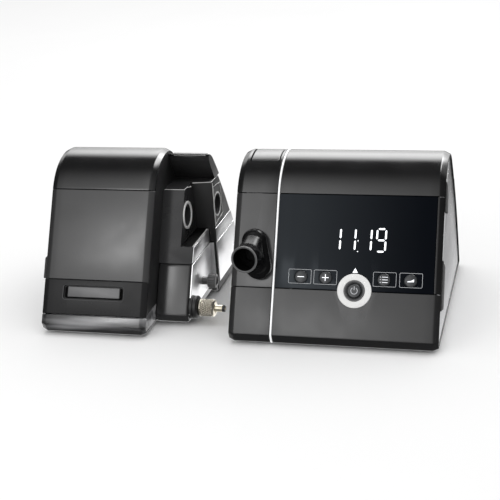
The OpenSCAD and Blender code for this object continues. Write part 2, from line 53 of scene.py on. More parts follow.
MM = 0.001
DEV_W = 170.0
DEV_H = 135.0
LEAN = radians(61)
WALL = 3.0
SEAM = 0.3
FOOT_H = 1.5
COLUMN_W = 35.0
STRIPE_W = 1.6
MAIN_X = COLUMN_W + STRIPE_W
HUM_W = 93.5
HUM_RIGHT = -71.2
HUM_LEFT = HUM_RIGHT - HUM_W
BLOCK_FRONT_X = HUM_RIGHT + 30.5
BLOCK_REAR_X = HUM_RIGHT + 36.5
BLOCK_PORT_X = HUM_RIGHT + 18.5
BLOCK_SETBACK = 24.0
BLOCK_INSET = 9.0
PORT_FRONT = (81.0, 81.0)
PORT_REAR = (112.9, 80.5)
PORT_R = 9.5
STEP_Y = 101.7
LEDGE_Z = 104.0
RIM_Z = 61.2
BLOCK_SEAM_Z = 48.5
TANK_SEAM_Z = 17.5
REAR_SEAM_Z = 100.0
PLUG = (39.0, 13.5)
KNOB = (72.0, 24.0)
KEY_X = (58.4, 78.4, 125.2, 146.2)
KEY_S = 48.6
KEY_R = 5.2
RING = (102.0, 39.0)
RING_R = 13.7
BEZEL_R = 8.4
POWER_R = 5.4
SWIVEL = (24.0, 55.2)
PLAY = 0.3
CUT = 9.0
CHAMFER_W = 4.8
CHAMFER_D = 2.4
CHAMFER_BLEND = 0.7
CHAMFER_NOSE = 0.4
SEAM_ROUND = 0.45

ORIGIN = Vector((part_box("top_cap")[1].x - DEV_W * MM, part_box("lower_panel")[0].y, 0.0))


def to_frame(x, y, z):
    return Vector((x, y, z)) * MM + ORIGIN


# ---------------- side outline

TOE_H = 9.6
TOE_BACK = 2.8
CAP_R = 46.4
CREST_R = 26.0
CREST_TURN = radians(50)
REAR_R = 397.0
CORNER_R = 3.2
CAP_C = Vector(((CAP_R + (DEV_H - CAP_R - TOE_H) * cos(LEAN)) / sin(LEAN), DEV_H - CAP_R))
CREST_C = Vector((CAP_C.x, DEV_H - CREST_R))
REAR_C = CREST_C - (REAR_R - CREST_R) * Vector((sin(CREST_TURN), cos(CREST_TURN)))
CAP_SEAM = (111.1 - TOE_H) / sin(LEAN)
LOW_SEAM = (43.5 - TOE_H) / sin(LEAN)


def outward(angle):
    return Vector((sin(angle), cos(angle)))


def rear_angle(z):
    return acos((z - REAR_C.y) / REAR_R)


def rear_y(z, inset=0.0):
    return REAR_C.x + sqrt((REAR_R - inset) ** 2 - (z - REAR_C.y) ** 2)


def face_yz(s, lift=0.0):
    return Vector((s * cos(LEAN), TOE_H + s * sin(LEAN))) + lift * outward(-LEAN)


def arc_part(centre, radius, start, stop):
    """Length, point and normal along it, and steps, of an arc between two angles."""
    length = radius * (stop - start)

    def at(t):
        n = outward(start + (stop - start) * t / length)
        return centre + radius * n, n

    return length, at, max(4, round(degrees(stop - start) / 2.5))


def line_part(a, b, angle):
    def at(t):
        return a.lerp(b, t / (b - a).length), outward(angle)

    return (b - a).length, at, 1


def fillet_part(corner, start, stop):
    n0, n1 = outward(start), outward(stop)
    centre = corner - CORNER_R * (n0 + n1) / (1 + n0.dot(n1))
    return arc_part(centre, CORNER_R, start, stop)


def first(part):
    """Start point of an outline part; last gives its end point."""
    return part[1](0)[0]


def last(part):
    return part[1](part[0])[0]


def build_outline():
    """Parts of the closed side outline in order: toe, face, cap, crest, rear, bottom."""
    toe_angle = -pi + atan2(TOE_H - FOOT_H, TOE_BACK)
    rear_low = Vector((rear_y(FOOT_H), FOOT_H))
    rear_stop = rear_angle(FOOT_H)
    front_fillet = fillet_part(Vector((TOE_BACK, FOOT_H)), -pi, toe_angle)
    toe_fillet = fillet_part(Vector((0.0, TOE_H)), toe_angle, -LEAN)
    rear_fillet = fillet_part(rear_low, rear_stop, pi)
    rear_cut = (rear_low - first(rear_fillet)).length / REAR_R
    return {
        "front_fillet": front_fillet,
        "toe": line_part(last(front_fillet), first(toe_fillet), toe_angle),
        "toe_fillet": toe_fillet,
        "face": line_part(last(toe_fillet), CAP_C + CAP_R * outward(-LEAN), -LEAN),
        "cap": arc_part(CAP_C, CAP_R, -LEAN, 0.0),
        "crest": arc_part(CREST_C, CREST_R, 0.0, CREST_TURN),
        "rear": arc_part(REAR_C, REAR_R, CREST_TURN, rear_stop - rear_cut),
        "rear_fillet": rear_fillet,
        "bottom": line_part(last(rear_fillet), first(front_fillet), -pi),
    }


OUTLINE = build_outline()
STARTS = {}
TOTAL = 0.0
for part_name, outline_part in OUTLINE.items():
    STARTS[part_name] = TOTAL
    TOTAL += outline_part[0]


def walk(u, inset=0.0):
    """Point at distance u round the outline, moved inwards by inset."""
    u = u % TOTAL
    name = [n for n in OUTLINE if STARTS[n] <= u + 1e-9][-1]
    point, normal = OUTLINE[name][1](u - STARTS[name])
    return point - inset * normal


def u_face(s):
    corner_cut = (first(OUTLINE["face"]) - Vector((0.0, TOE_H))).length
    return STARTS["face"] + s - corner_cut


def u_rear(z):
    return STARTS["rear"] + REAR_R * (rear_angle(z) - CREST_TURN)


def u_bottom(y):
    return STARTS["bottom"] + first(OUTLINE["bottom"]).x - y


def stations(u0, u1):
    """Distances between u0 and u1 where the outline needs a vertex."""
    found = []
    for lap in (0.0, TOTAL):
        for name, (length, _, steps) in OUTLINE.items():
            found += [STARTS[name] + lap + length * i / steps for i in range(steps)]
    return [u for u in found if u0 < u < u1]


LOW_END = u_face(LOW_SEAM - SEAM / 2)
MID_START = u_face(LOW_SEAM + SEAM / 2)
MID_END = u_face(CAP_SEAM - SEAM / 2)
CAP_START = u_face(CAP_SEAM + SEAM / 2)
CAP_END = u_rear(REAR_SEAM_Z) - SEAM / 2
REAR_START = u_rear(REAR_SEAM_Z) + SEAM / 2

# ---------------- mesh building


def add_object(name, data):
    """Object in the scene that holds this data."""
    obj = bpy.data.objects.new(name, data)
    bpy.context.scene.collection.objects.link(obj)
    return obj


def new_object(name, bm):
    """Object with the bmesh's faces, pointing outwards."""
    bmesh.ops.remove_doubles(bm, verts=bm.verts, dist=1e-7)
    bmesh.ops.recalc_face_normals(bm, faces=bm.faces)
    mesh = bpy.data.meshes.new(name)
    bm.to_mesh(mesh)
    bm.free()
    return add_object(name, mesh)


def evaluated_mesh(obj):
    bpy.context.view_layer.update()
    graph = bpy.context.evaluated_depsgraph_get()
    return bpy.data.meshes.new_from_object(obj.evaluated_get(graph))


def bake(obj):
    """Applies the object's modifiers."""
    old = obj.data
    obj.data = evaluated_mesh(obj)
    obj.data.name = obj.name
    obj.modifiers.clear()
    bpy.data.meshes.remove(old)
    return obj


def modify(obj, kind, **settings):
    """Adds a modifier with these settings."""
    modifier = obj.modifiers.new(kind.lower(), kind)
    for key, value in settings.items():
        setattr(modifier, key, value)


def carve(obj, cutters, operation="DIFFERENCE"):
    """Cuts the cutters out of the piece, or joins them to it."""
    for cutter in cutters:
        modify(obj, "BOOLEAN", operation=operation, solver="EXACT", object=cutter)
        bake(obj)
        bpy.data.objects.remove(cutter)
    return obj


def soften(obj, width, segments=3):
    """Rounds the sharp edges."""
    modify(obj, "BEVEL", width=width * MM, segments=segments, limit_method="ANGLE", angle_limit=radians(35))
    return bake(obj)


def dress(mesh, look):
    mesh.materials.clear()
    mesh.materials.append(MATERIALS[look])


def install(obj, body, look, node=None, sharp=32.0):
    """Gives the piece its material, puts it on its body and hides the CAD node that it stands for."""
    dress(obj.data, look)
    for polygon in obj.data.polygons:
        polygon.use_smooth = True
    obj.data.set_sharp_from_angle(angle=radians(sharp))
    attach(obj, body)
    if node:
        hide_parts(node)


def quarter_turn(steps):
    """Angles from 0 to 90 degrees."""
    return [pi / 2 * i / steps for i in range(steps + 1)]


class RoundEdge:
    """Edge rounded off over a width and depth."""

    def __init__(self, width, depth):
        self.width = width
        self.depth = depth
        self.offsets = [width * (1 - cos(a)) for a in quarter_turn(7)]

    def drop(self, distance):
        """How far the edge has curved away at this distance from it."""
        if distance >= self.width:
            return 0.0
        return self.depth * (1 - sqrt(max(0.0, 1 - (1 - distance / self.width) ** 2)))


class ChamferEdge:
    """Flat slanted edge that meets the main surface in a short curve and ends in a small nose."""

    def __init__(self, width, depth):
        self.width = width
        self.slope = depth / width
        nose = [CHAMFER_NOSE * t for t in (0, 0.1, 0.3, 0.6, 1)]
        self.offsets = nose + [width + CHAMFER_BLEND * t for t in (-1, -0.6, -0.2, 0.2, 0.6, 1)]

    def drop(self, distance):
        reach = self.width + CHAMFER_BLEND - distance
        if reach <= 0:
            return 0.0
        if reach < 2 * CHAMFER_BLEND:
            return self.slope * reach**2 / (4 * CHAMFER_BLEND)
        nose = max(0.0, CHAMFER_NOSE - distance)
        rounding = CHAMFER_NOSE - sqrt(CHAMFER_NOSE**2 - nose**2)
        return self.slope * (self.width - distance) + rounding


SOFT = RoundEdge(SEAM_ROUND, SEAM_ROUND)
CRISP = RoundEdge(0.3, 0.3)
BROAD = RoundEdge(0.8, 0.8)
REAR_EDGE = RoundEdge(1.5, 1.2)
SIDE_EDGE = ChamferEdge(CHAMFER_W, CHAMFER_D)
TRIM_EDGE = ChamferEdge(CHAMFER_W - 0.6, CHAMFER_D)


def spread(a, b, edge_a, edge_b, inner):
    """Positions from a to b, close together along both shaped edges."""
    near = [a + d for d in edge_a.offsets]
    far = [b - d for d in edge_b.offsets][::-1]
    middle = [v for v in inner if near[-1] + 0.3 < v < far[0] - 0.3]
    return near + middle + far


def bridge(bm, low, high):
    """Band of quads between two closed rings of vertices."""
    for a, b, c, d in zip(low, low[1:] + low[:1], high[1:] + high[:1], high):
        bm.faces.new((a, b, c, d))


def panel(name, x0, x1, u0, u1, left=SOFT, right=SOFT, start=SOFT, stop=SOFT, depth=WALL, lift=0.0):
    """Closed moulded panel that follows the outline from u0 to u1 and runs from x0 to x1."""
    steps = max(1, round((x1 - x0) / 12))
    xs = spread(x0, x1, left, right, [x0 + (x1 - x0) * i / steps for i in range(1, steps)])
    us = spread(u0, u1, start, stop, stations(u0, u1))
    bm = bmesh.new()
    rings = []
    for u in us:
        outer, inner = [], []
        for x in xs:
            drop = left.drop(x - x0) + right.drop(x1 - x) + start.drop(u - u0) + stop.drop(u1 - u)
            for row, inset in ((outer, min(drop, depth - 0.1) - lift), (inner, depth)):
                row.append(bm.verts.new(to_frame(x, *walk(u, inset))))
        rings.append(outer + inner[::-1])
    for low, high in zip(rings, rings[1:]):
        bridge(bm, low, high)
    for ring in (rings[0], rings[-1]):
        for j in range(len(xs) - 1):
            bm.faces.new((ring[j], ring[j + 1], ring[-j - 2], ring[-j - 1]))
    return new_object(name, bm)


def moulding(name, span, look, node=None, cutters=(), body="ventilator", slot="shell_black", **edges):
    """Panel over the span (x0, x1, u0, u1) with its openings cut, put in place."""
    install(carve(panel(name, *span, **edges), cutters), body, look, node)


def add_solid(bm, rings):
    """Closed solid through rings of points, all with the same count."""
    rows = [[bm.verts.new(point) for point in ring] for ring in rings]
    for low, high in zip(rows, rows[1:]):
        bridge(bm, low, high)
    bm.faces.new(rows[0][::-1])
    bm.faces.new(rows[-1])


def prism(name, outline_yz, x0, x1, round_off=0.0, segments=3):
    """Closed solid with this side outline between x0 and x1, its sharp edges rounded."""
    bm = bmesh.new()
    add_solid(bm, [[to_frame(x, y, z) for y, z in outline_yz] for x in (x0, x1)])
    obj = new_object(name, bm)
    return soften(obj, round_off, segments) if round_off else obj


def outline_loop(inset):
    return [walk(u, inset) for u in [0.0] + stations(0.0, TOTAL)]


def face_matrix(x, s, lift=0.0):
    """Axes on the front face: X along the device, Y up the face, Z out of it, in millimetres."""
    place = to_frame(x, *face_yz(s, lift))
    return Matrix.Translation(place) @ Matrix.Rotation(LEAN, 4, "X") @ Matrix.Scale(MM, 4)


def rear_matrix(x, z):
    """Axes on the rear surface: Y down the slope, Z out of it."""
    place = to_frame(x, rear_y(z), z)
    return Matrix.Translation(place) @ Matrix.Rotation(-rear_angle(z), 4, "X") @ Matrix.Scale(MM, 4)


def dock_matrix(x, at):
    """Axes on the docking face: Z towards the ventilator."""
    place = to_frame(x, *at)
    return Matrix.Translation(place) @ Matrix.Rotation(pi / 2, 4, "Y") @ Matrix.Scale(MM, 4)


def flat_matrix(x, y):
    return Matrix.Translation(to_frame(x, y, 0)) @ Matrix.Scale(MM, 4)


def circle(radius, count):
    turns = [2 * pi * i / count for i in range(count)]
    return [(radius * cos(a), radius * sin(a)) for a in turns]


def lathe(name, profile, matrix, steps=72, relief=lambda angle, height: 0.0):
    """Turned solid from (radius, height) pairs; relief(angle, height) adds to the radius off the axis."""
    bm = bmesh.new()
    turns = [2 * pi * i / steps for i in range(steps)]
    rings = []
    for r, h in profile:
        if r:
            radii = [r + relief(a, h) for a in turns]
            points = [matrix @ Vector((q * cos(a), q * sin(a), h)) for a, q in zip(turns, radii)]
            rings.append([bm.verts.new(point) for point in points])
        else:
            rings.append([bm.verts.new(matrix @ Vector((0, 0, h)))] * steps)
    if profile[0][0]:
        rings.append(rings[0])
    for low, high in zip(rings, rings[1:]):
        for i in range(steps):
            j = (i + 1) % steps
            corners = list(dict.fromkeys((low[i], low[j], high[j], high[i])))
            if len(corners) > 2:
                bm.faces.new(corners)
    return new_object(name, bm)


def rounded_outline(w, h, r, steps=6, cx=0.0, cy=0.0):
    points = []
    for k, (sx, sy) in enumerate([(1, 1), (-1, 1), (-1, -1), (1, -1)]):
        for i in range(steps + 1):
            a = pi / 2 * (k + i / steps)
            points.append((cx + sx * (w / 2 - r) + r * cos(a), cy + sy * (h / 2 - r) + r * sin(a)))
    return points


def add_layers(bm, layers, matrix):
    """Closed solid through equal-length outlines, each at its own height."""
    add_solid(bm, [[matrix @ Vector((x, y, h)) for x, y in outline] for outline, h in layers])


def stack(name, layers, matrix):
    bm = bmesh.new()
    add_layers(bm, layers, matrix)
    return new_object(name, bm)


def pad(name, w, h, r, low, high, round_off, matrix):
    """Rounded rectangular plate with its upper edge rounded off."""
    layers = [(rounded_outline(w, h, r), low)]
    for a in quarter_turn(4):
        cut = round_off * (1 - cos(a))
        shrunk = rounded_outline(w - 2 * cut, h - 2 * cut, max(0.05, r - cut))
        layers.append((shrunk, high - round_off * (1 - sin(a))))
    return stack(name, layers, matrix)


def wrap(name, points):
    """Convex solid around the points."""
    bm = bmesh.new()
    for point in points:
        bm.verts.new(point)
    made = bmesh.ops.convex_hull(bm, input=bm.verts)
    bmesh.ops.delete(bm, geom=made["geom_interior"] + made["geom_unused"], context="VERTS")
    return new_object(name, bm)


def hole(radius, low, high, matrix):
    return lathe("hole", [(0, low), (radius, low), (radius, high), (0, high)], matrix)


def slot_cutter(w, h, r, low, high, matrix):
    return stack("slot", [(rounded_outline(w, h, r), low), (rounded_outline(w, h, r), high)], matrix)


def add_tile(bm, ring, low, high, matrix):
    """Thin raised tile with this outline."""
    add_layers(bm, [(ring, low), (ring, high)], matrix)


def add_stroke(bm, points, width, low, high, matrix):
    """Flat bars along a line of points."""
    half = width / 2
    for start, stop in zip(points, points[1:]):
        a, b = Vector(start), Vector(stop)
        along = (b - a).normalized() * half
        side = Vector((-along.y, along.x))
        a, b = a - 0.35 * along, b + 0.35 * along
        add_tile(bm, [a + side, b + side, b - side, a - side], low, high, matrix)


def mark(name, body, look, at, low, high, strokes=(), tiles=(), width=0.5):
    """Flat-topped symbol of bars and tiles on the front face."""
    bm = bmesh.new()
    matrix = face_matrix(*at)
    for points in strokes:
        add_stroke(bm, points, width, low, high, matrix)
    for ring in tiles:
        add_tile(bm, ring, low, high, matrix)
    install(new_object(name, bm), body, look)


def tube_along(name, points, radius):
    """Thin round bead through points given in millimetres."""
    curve = bpy.data.curves.new(name, "CURVE")
    curve.dimensions = "3D"
    curve.bevel_depth = radius * MM
    curve.bevel_resolution = 2
    curve.use_fill_caps = True
    spline = curve.splines.new("POLY")
    spline.points.add(len(points) - 1)
    for target, p in zip(spline.points, points):
        target.co = (*to_frame(*p), 1.0)
    line = add_object(name, curve)
    mesh = evaluated_mesh(line)
    bpy.data.objects.remove(line)
    return add_object(name, mesh)


# ---------------- materials

MATERIALS = {}


def feed(socket, source):
    """Links the socket to a node's output, or sets it to a plain value."""
    if isinstance(source, bpy.types.NodeSocket):
        socket.id_data.links.new(source, socket)
    else:
        socket.default_value = source


def add_node(tree, kind, **values):
    """Shader node with its inputs or settings given by name, spaces written as underscores."""
    made = tree.nodes.new("ShaderNode" + kind)
    for key, value in values.items():
        socket_name = key.replace("_", " ")
        if socket_name in made.inputs:
            feed(made.inputs[socket_name], value)
        else:
            setattr(made, key, value)
    return made


def map_range(tree, value, start, stop, low, high, interpolation="LINEAR"):
    """Value that runs from low to high while the input runs from start to stop."""
    made = add_node(tree, "MapRange", interpolation_type=interpolation, Value=value)
    for key, number in (("From Min", start), ("From Max", stop), ("To Min", low), ("To Max", high)):
        made.inputs[key].default_value = number
    return made.outputs["Result"]


class Look:
    """A Principled material with helpers for procedural colour, roughness and bump."""

    def __init__(self, name, metal=0.0):
        material = bpy.data.materials.new(name)
        material.use_nodes = True
        MATERIALS[name] = material
        self.tree = material.node_tree
        self.sockets = self.tree.nodes["Principled BSDF"].inputs
        self.place = add_node(self.tree, "TexCoord").outputs["Object"]
        self.set(Metallic=metal)

    def set(self, **values):
        for key, value in values.items():
            feed(self.sockets[key.replace("_", " ")], value)
        return self

    def noise(self, size_mm, detail=3.0, stretch=(1, 1, 1)):
        vector = add_node(self.tree, "Mapping", Vector=self.place, Scale=stretch).outputs["Vector"]
        made = add_node(self.tree, "TexNoise", Vector=vector, Scale=1 / (size_mm * MM), Detail=detail)
        return made.outputs["Fac"]

    def ramp(self, fac, stops):
        made = add_node(self.tree, "ValToRGB", Fac=fac)
        elements = made.color_ramp.elements
        while len(elements) < len(stops):
            elements.new(0.5)
        for element, (position, color) in zip(elements, stops):
            element.position = position
            element.color = (*color, 1.0)
        return made.outputs["Color"]

    def paint(self, color):
        self.base = color
        return self.set(Base_Color=color)

    def tint(self, color, variation, size_mm=28.0):
        """Base colour with a slow drift in brightness."""
        low = [c * (1 - variation) for c in color]
        high = [c * (1 + variation) for c in color]
        return self.paint(self.ramp(self.noise(size_mm), [(0.3, low), (0.7, high)]))

    def wear_and_edge_highlight(self, color, start=0.53, stop=0.6):
        """Lighter colour along convex edges: partly rubbed wear, partly a painted edge highlight."""
        pointy = add_node(self.tree, "NewGeometry").outputs["Pointiness"]
        mask = self.ramp(pointy, [(start, (0, 0, 0)), (stop, (1, 1, 1))])
        mix = add_node(self.tree, "Mix", data_type="RGBA")
        for index, source in ((0, mask), (6, self.base), (7, (*color, 1.0))):
            feed(mix.inputs[index], source)
        return self.paint(mix.outputs[2])

    def smudges(self, low, high, size_mm=18.0):
        """Roughness that drifts between two values, with fine handling marks."""
        return self.set(Roughness=map_range(self.tree, self.noise(size_mm, 6.0), 0.3, 0.7, low, high))

    def grain(self, size_mm, depth_mm, strength, stretch=(1, 1, 1)):
        height = self.noise(size_mm, 2.0, stretch)
        bump = add_node(self.tree, "Bump", Strength=strength, Distance=depth_mm * MM, Height=height)
        return self.set(Normal=bump.outputs["Normal"])

    def along(self, axis, start_mm, stop_mm, low=0.0, high=1.0):
        """Value that runs from low to high between two places on a frame axis."""
        split = add_node(self.tree, "SeparateXYZ", Vector=self.place)
        return map_range(self.tree, split.outputs[axis], start_mm * MM, stop_mm * MM, low, high)

    def fade(self, axis, stops):
        """Base colour that changes along a frame axis, given as places in mm and brightness."""
        reach = stops[-1][0]
        levels = [(place / reach, (level, level, level * 1.02)) for place, level in stops]
        return self.paint(self.ramp(self.along(axis, 0, reach), levels))

    def dim(self, axis, start_mm, stop_mm, low, high):
        """Reflections that weaken along a frame axis."""
        return self.set(Specular_IOR_Level=self.along(axis, start_mm, stop_mm, low, high))


def grey(level, blue=None):
    """Neutral colour, with a blue level of its own if given."""
    return (level, level, level if blue is None else blue)


def surface(name, color, drift, rough, grain, edge=None, metal=0.0):
    """Look with a drifting colour, a range of roughness, fine grain and lighter edges, the edges partly
    wear and partly a painted highlight.
    """
    look = Look(name, metal).tint(color, *drift).smudges(*rough).grain(*grain)
    return look.wear_and_edge_highlight(edge) if edge else look


def dark_plastics():
    fine, plain = [0.35, 0.012, 0.2], [0.3, 0.01, 0.2]
    surface("gloss_black", grey(0.004, 0.0043), [0.15], [0.13, 0.2], [0.9, 0.01, 0.1], grey(0.012, 0.0125))
    surface("satin_black", grey(0.009, 0.0094), [0.12], [0.2, 0.26], [0.35, 0.012, 0.25], grey(0.03, 0.031))
    strip = surface("strip_black", grey(0.01, 0.0105), [0.12], [0.24, 0.32], fine, grey(0.03, 0.031))
    surface("satin_grey", grey(0.022, 0.0225), [0.1], [0.18, 0.24], [0.35, 0.012, 0.22], grey(0.06, 0.062))
    handle = [0.1, 14.0], [0.3, 0.38], [0.4, 0.01, 0.2]
    surface("handle_satin", grey(0.1, 0.102), *handle, grey(0.25, 0.252), 0.3)
    surface("matte_black", grey(0.007, 0.0073), [0.15], [0.42, 0.56], [0.3, 0.02, 0.3], grey(0.03, 0.031))
    # Near-black, almost unreflecting look laid where there is only shade: painted shade in gaps, recesses
    # and bores.
    painted_shade = surface("painted_shade_black", grey(0.002), [0.2, 6.0], [0.7, 0.9, 6.0], [0.4, 0.02, 0.3])
    surface("frame_grey", (0.05, 0.052, 0.055), [0.12], [0.45, 0.58], [0.3, 0.02, 0.35], grey(0.1, 0.105))
    surface("bezel_grey", (0.05, 0.051, 0.053), [0.08, 8.0], [0.3, 0.42], plain, grey(0.2), 0.2)
    surface("key_cap", (0.018, 0.02, 0.023), [0.12, 6.0], [0.26, 0.36, 5.0], plain, (0.05, 0.052, 0.055))
    broad = [0.15, 12.0], [0.2, 0.3, 9.0], [0.6, 0.01, 0.12]
    elbow = surface("elbow_plastic", grey(0.004, 0.0043), *broad, grey(0.015))
    for look, level in ((strip, 0.16), (painted_shade, 0.1), (elbow, 0.16)):
        look.set(Specular_IOR_Level=level)


GLASS_FADE = (60, 152)


def display_looks():
    waves = [0.15, 60.0], [0.1, 0.16, 40.0], [6.0, 0.004, 0.1]
    glass = surface("display_glass", (0.0028, 0.0036, 0.0056), *waves)
    left, right = [x + ORIGIN.x / MM for x in GLASS_FADE]
    glass.set(Specular_Tint=(0.84, 0.93, 1.0, 1.0)).dim(0, left, right, 0.135, 0.022)
    lit = surface("lit_mark", (0.9, 0.92, 0.95), [0.02], [0.35, 0.45], [0.5, 0.01, 0.1])
    glowing_print = surface("print_with_painted_glow", (0.55, 0.56, 0.57), [0.05], [0.4, 0.5], [0.3, 0.01, 0.2])
    guide = surface("light_guide", (0.85, 0.86, 0.87), [0.02], [0.25, 0.38], [0.8, 0.01, 0.1])
    # The printed marks get a faint painted glow on top of their colour.
    glows = ((lit, (0.93, 0.96, 1.0), 0.9), (glowing_print, (0.9, 0.93, 1.0), 0.18), (guide, grey(1.0), 0.35))
    for look, color, strength in glows:
        look.set(Emission_Color=(*color, 1.0), Emission_Strength=strength)


def pale_plastics():
    edge = grey(0.75, 0.74)
    surface("white_plastic", grey(0.8, 0.79), [0.03, 12.0], [0.3, 0.42], [0.4, 0.01, 0.2], grey(0.9))
    # This pale look serves the real port seals and also the beads that paint edge highlights.
    surface("pale_seal_and_highlight", grey(0.85, 0.84), [0.05, 8.0], [0.44, 0.58, 6.0], [0.3, 0.02, 0.3], edge)
    surface("blower_white", (0.62, 0.63, 0.61), [0.05, 15.0], [0.4, 0.52], [0.3, 0.01, 0.25], edge)
    surface("card_blue", (0.02, 0.09, 0.26), [0.08, 6.0], [0.3, 0.42], [0.3, 0.01, 0.2], (0.1, 0.2, 0.4))


def silver_finishes():
    across = (0.15, 1, 1)
    surface("silver_satin", (0.86, 0.865, 0.875), [0.04, 40.0], [0.27, 0.37], [0.25, 0.006, 0.15, across],
            grey(0.95, 0.96), 0.85)
    surface("silver_grey", (0.42, 0.422, 0.428), [0.05, 20.0], [0.3, 0.4], [0.25, 0.006, 0.15, across],
            grey(0.7, 0.71), 0.8)
    # Painted reflection and shade: the side panel's base colour runs in lighter and darker bands up its
    # height.
    levels = [(0, 0.45), (20, 0.3), (31, 0.1), (52, 0.1), (75, 0.24), (97, 0.13), (125, 0.08)]
    side = Look("silver_side", 0.7).fade(2, levels).set(Specular_Tint=(0.45, 0.45, 0.455, 1.0))
    side.smudges(0.2, 0.28, 30.0).grain(0.25, 0.006, 0.12, (1, 1, 0.15)).wear_and_edge_highlight((0.8, 0.8, 0.81))


def metals():
    surface("steel", grey(0.6, 0.61), [0.06, 6.0], [0.22, 0.36, 4.0], [0.15, 0.006, 0.2, (1, 0.1, 1)],
            grey(0.75), 1.0)
    knurled = [0.1, 4.0], [0.28, 0.42, 3.0], [0.2, 0.01, 0.3]
    surface("nickel", (0.33, 0.305, 0.26), *knurled, metal=1.0).wear_and_edge_highlight((0.8, 0.75, 0.64), 0.5, 0.56)
    surface("pin_metal", (0.66, 0.59, 0.43), [0.06, 5.0], [0.3, 0.42, 4.0], [0.2, 0.004, 0.2, (0.1, 1, 1)],
            (0.95, 0.9, 0.75), 1.0)


def soft_and_inner():
    surface("soft_rubber", grey(0.011), [0.2, 9.0], [0.68, 0.82, 6.0], [0.4, 0.05, 0.6], grey(0.03))
    surface("circuit_board", (0.012, 0.1, 0.045), [0.3, 2.2], [0.35, 0.55, 3.0], [1.2, 0.03, 0.5],
            (0.25, 0.2, 0.08))
    surface("open_foam", (0.06, 0.062, 0.065), [0.5, 1.2], [0.9, 1.0, 2.0], [1.1, 0.6, 1.0])
    surface("filter_fleece", grey(0.8, 0.77), [0.08, 1.0], [0.9, 1.0, 2.0], [0.5, 0.2, 0.9, (1, 0.2, 1)])
    tank = Look("smoky_tank")
    # Painted sheen: lighter horizontal streaks in the base colour stand for reflections on the glossy tank.
    painted_sheen_streaks = tank.noise(30.0, 2.0, (0.35, 2.5, 2.5))
    tank.paint(tank.ramp(painted_sheen_streaks, [(0.38, (0.03, 0.03, 0.031)), (0.64, (0.42, 0.42, 0.43))]))
    tank.smudges(0.1, 0.2, 14.0).grain(3.0, 0.02, 0.15).wear_and_edge_highlight((0.4, 0.4, 0.41))
    tank.set(Transmission_Weight=0.3, IOR=1.49)


CAD_LOOKS = {
    "matte_black": ["column_core", "dock_liner", "plug_socket", "power_inlet", "heater_plug", "tank_plate"],
    "frame_grey": ["inner_frame", "filter_frame", "air_duct", "card_slot", "base_tray"],
    "gloss_black": ["filter_cover"],
    "circuit_board": ["display_board", "main_board"],
    "display_glass": ["display_module"],
    "blower_white": ["blower_housing", "blower_lid", "impeller"],
    "steel": ["blower_motor", "blower_bearings", "device_screws", "heater_rod"],
    "soft_rubber": ["blower_cushions", "device_feet", "tank_feet", "tank_seal"],
    "open_foam": ["silencer_foam", "coarse_filter"],
    "filter_fleece": ["fine_filter"],
    "card_blue": ["memory_card"],
    "smoky_tank": ["water_tank"],
}


def dress_cad_nodes():
    for look, names in CAD_LOOKS.items():
        for name in names:
            dress(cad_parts[name].data, look)


# ---------------- ventilator shell

GLASS_RIGHT = DEV_W - CHAMFER_W - CHAMFER_BLEND
BASE_LEFT = 37.1
RELEASE_X = (8.1, 31.9)
RELEASE_Y = (79.6, 107.4)
FILTER_OPENING = (52.6, 44.6, 4)
CARD_OPENING = (26.4, 4.8, 0.8)
ALL_EDGES = ("left", "right", "start", "stop")
INLET_R = 6.8
SCREW_R = 3.1
FOOT_R = 5.1
SCREWS = [(70, 28), (158, 28), (50, 165), (158, 165)]
FEET = [(48, 18), (160, 18), (48, 176), (160, 176)]


def ring_hole():
    return hole(RING_R + PLAY, -CUT, CUT, face_matrix(*RING))


def ventilator_shell():
    left = MAIN_X + SEAM / 2
    moulding("lower_panel_skin", (left, DEV_W, 0.0, LOW_END), "satin_black", "lower_panel", [ring_hole()],
             right=SIDE_EDGE)
    openings = [ring_hole()] + [hole(KEY_R + PLAY, -CUT, CUT, face_matrix(x, KEY_S)) for x in KEY_X]
    moulding("display_glass_skin", (left, GLASS_RIGHT, MID_START, MID_END), "display_glass",
             "display_cover", openings, slot="display_glass", right=CRISP)
    moulding("display_side_trim", (GLASS_RIGHT + 0.2, DEV_W, MID_START, MID_END), "gloss_black",
             left=CRISP, right=TRIM_EDGE)
    moulding("top_cap_skin", (left, DEV_W, CAP_START, CAP_END), "gloss_black", "top_cap", right=SIDE_EDGE)
    openings = [
        slot_cutter(*FILTER_OPENING, -8, 8, rear_matrix(105, 62)),
        hole(INLET_R, -8, 8, rear_matrix(60, 24)),
        slot_cutter(*CARD_OPENING, -8, 8, rear_matrix(148, 30)),
    ]
    moulding("rear_cover_skin", (0, DEV_W, REAR_START, u_rear(5.0)), "gloss_black", "rear_cover", openings,
             left=REAR_EDGE, right=REAR_EDGE)
    openings = [hole(SCREW_R, 0, 3.1, flat_matrix(x, y)) for x, y in SCREWS]
    openings += [hole(FOOT_R, 0, 2.5, flat_matrix(x, y)) for x, y in FEET]
    moulding("base_skin", (BASE_LEFT, DEV_W, u_rear(4.6), u_bottom(8.8)), "matte_black", "base_tray",
             openings, right=SIDE_EDGE)


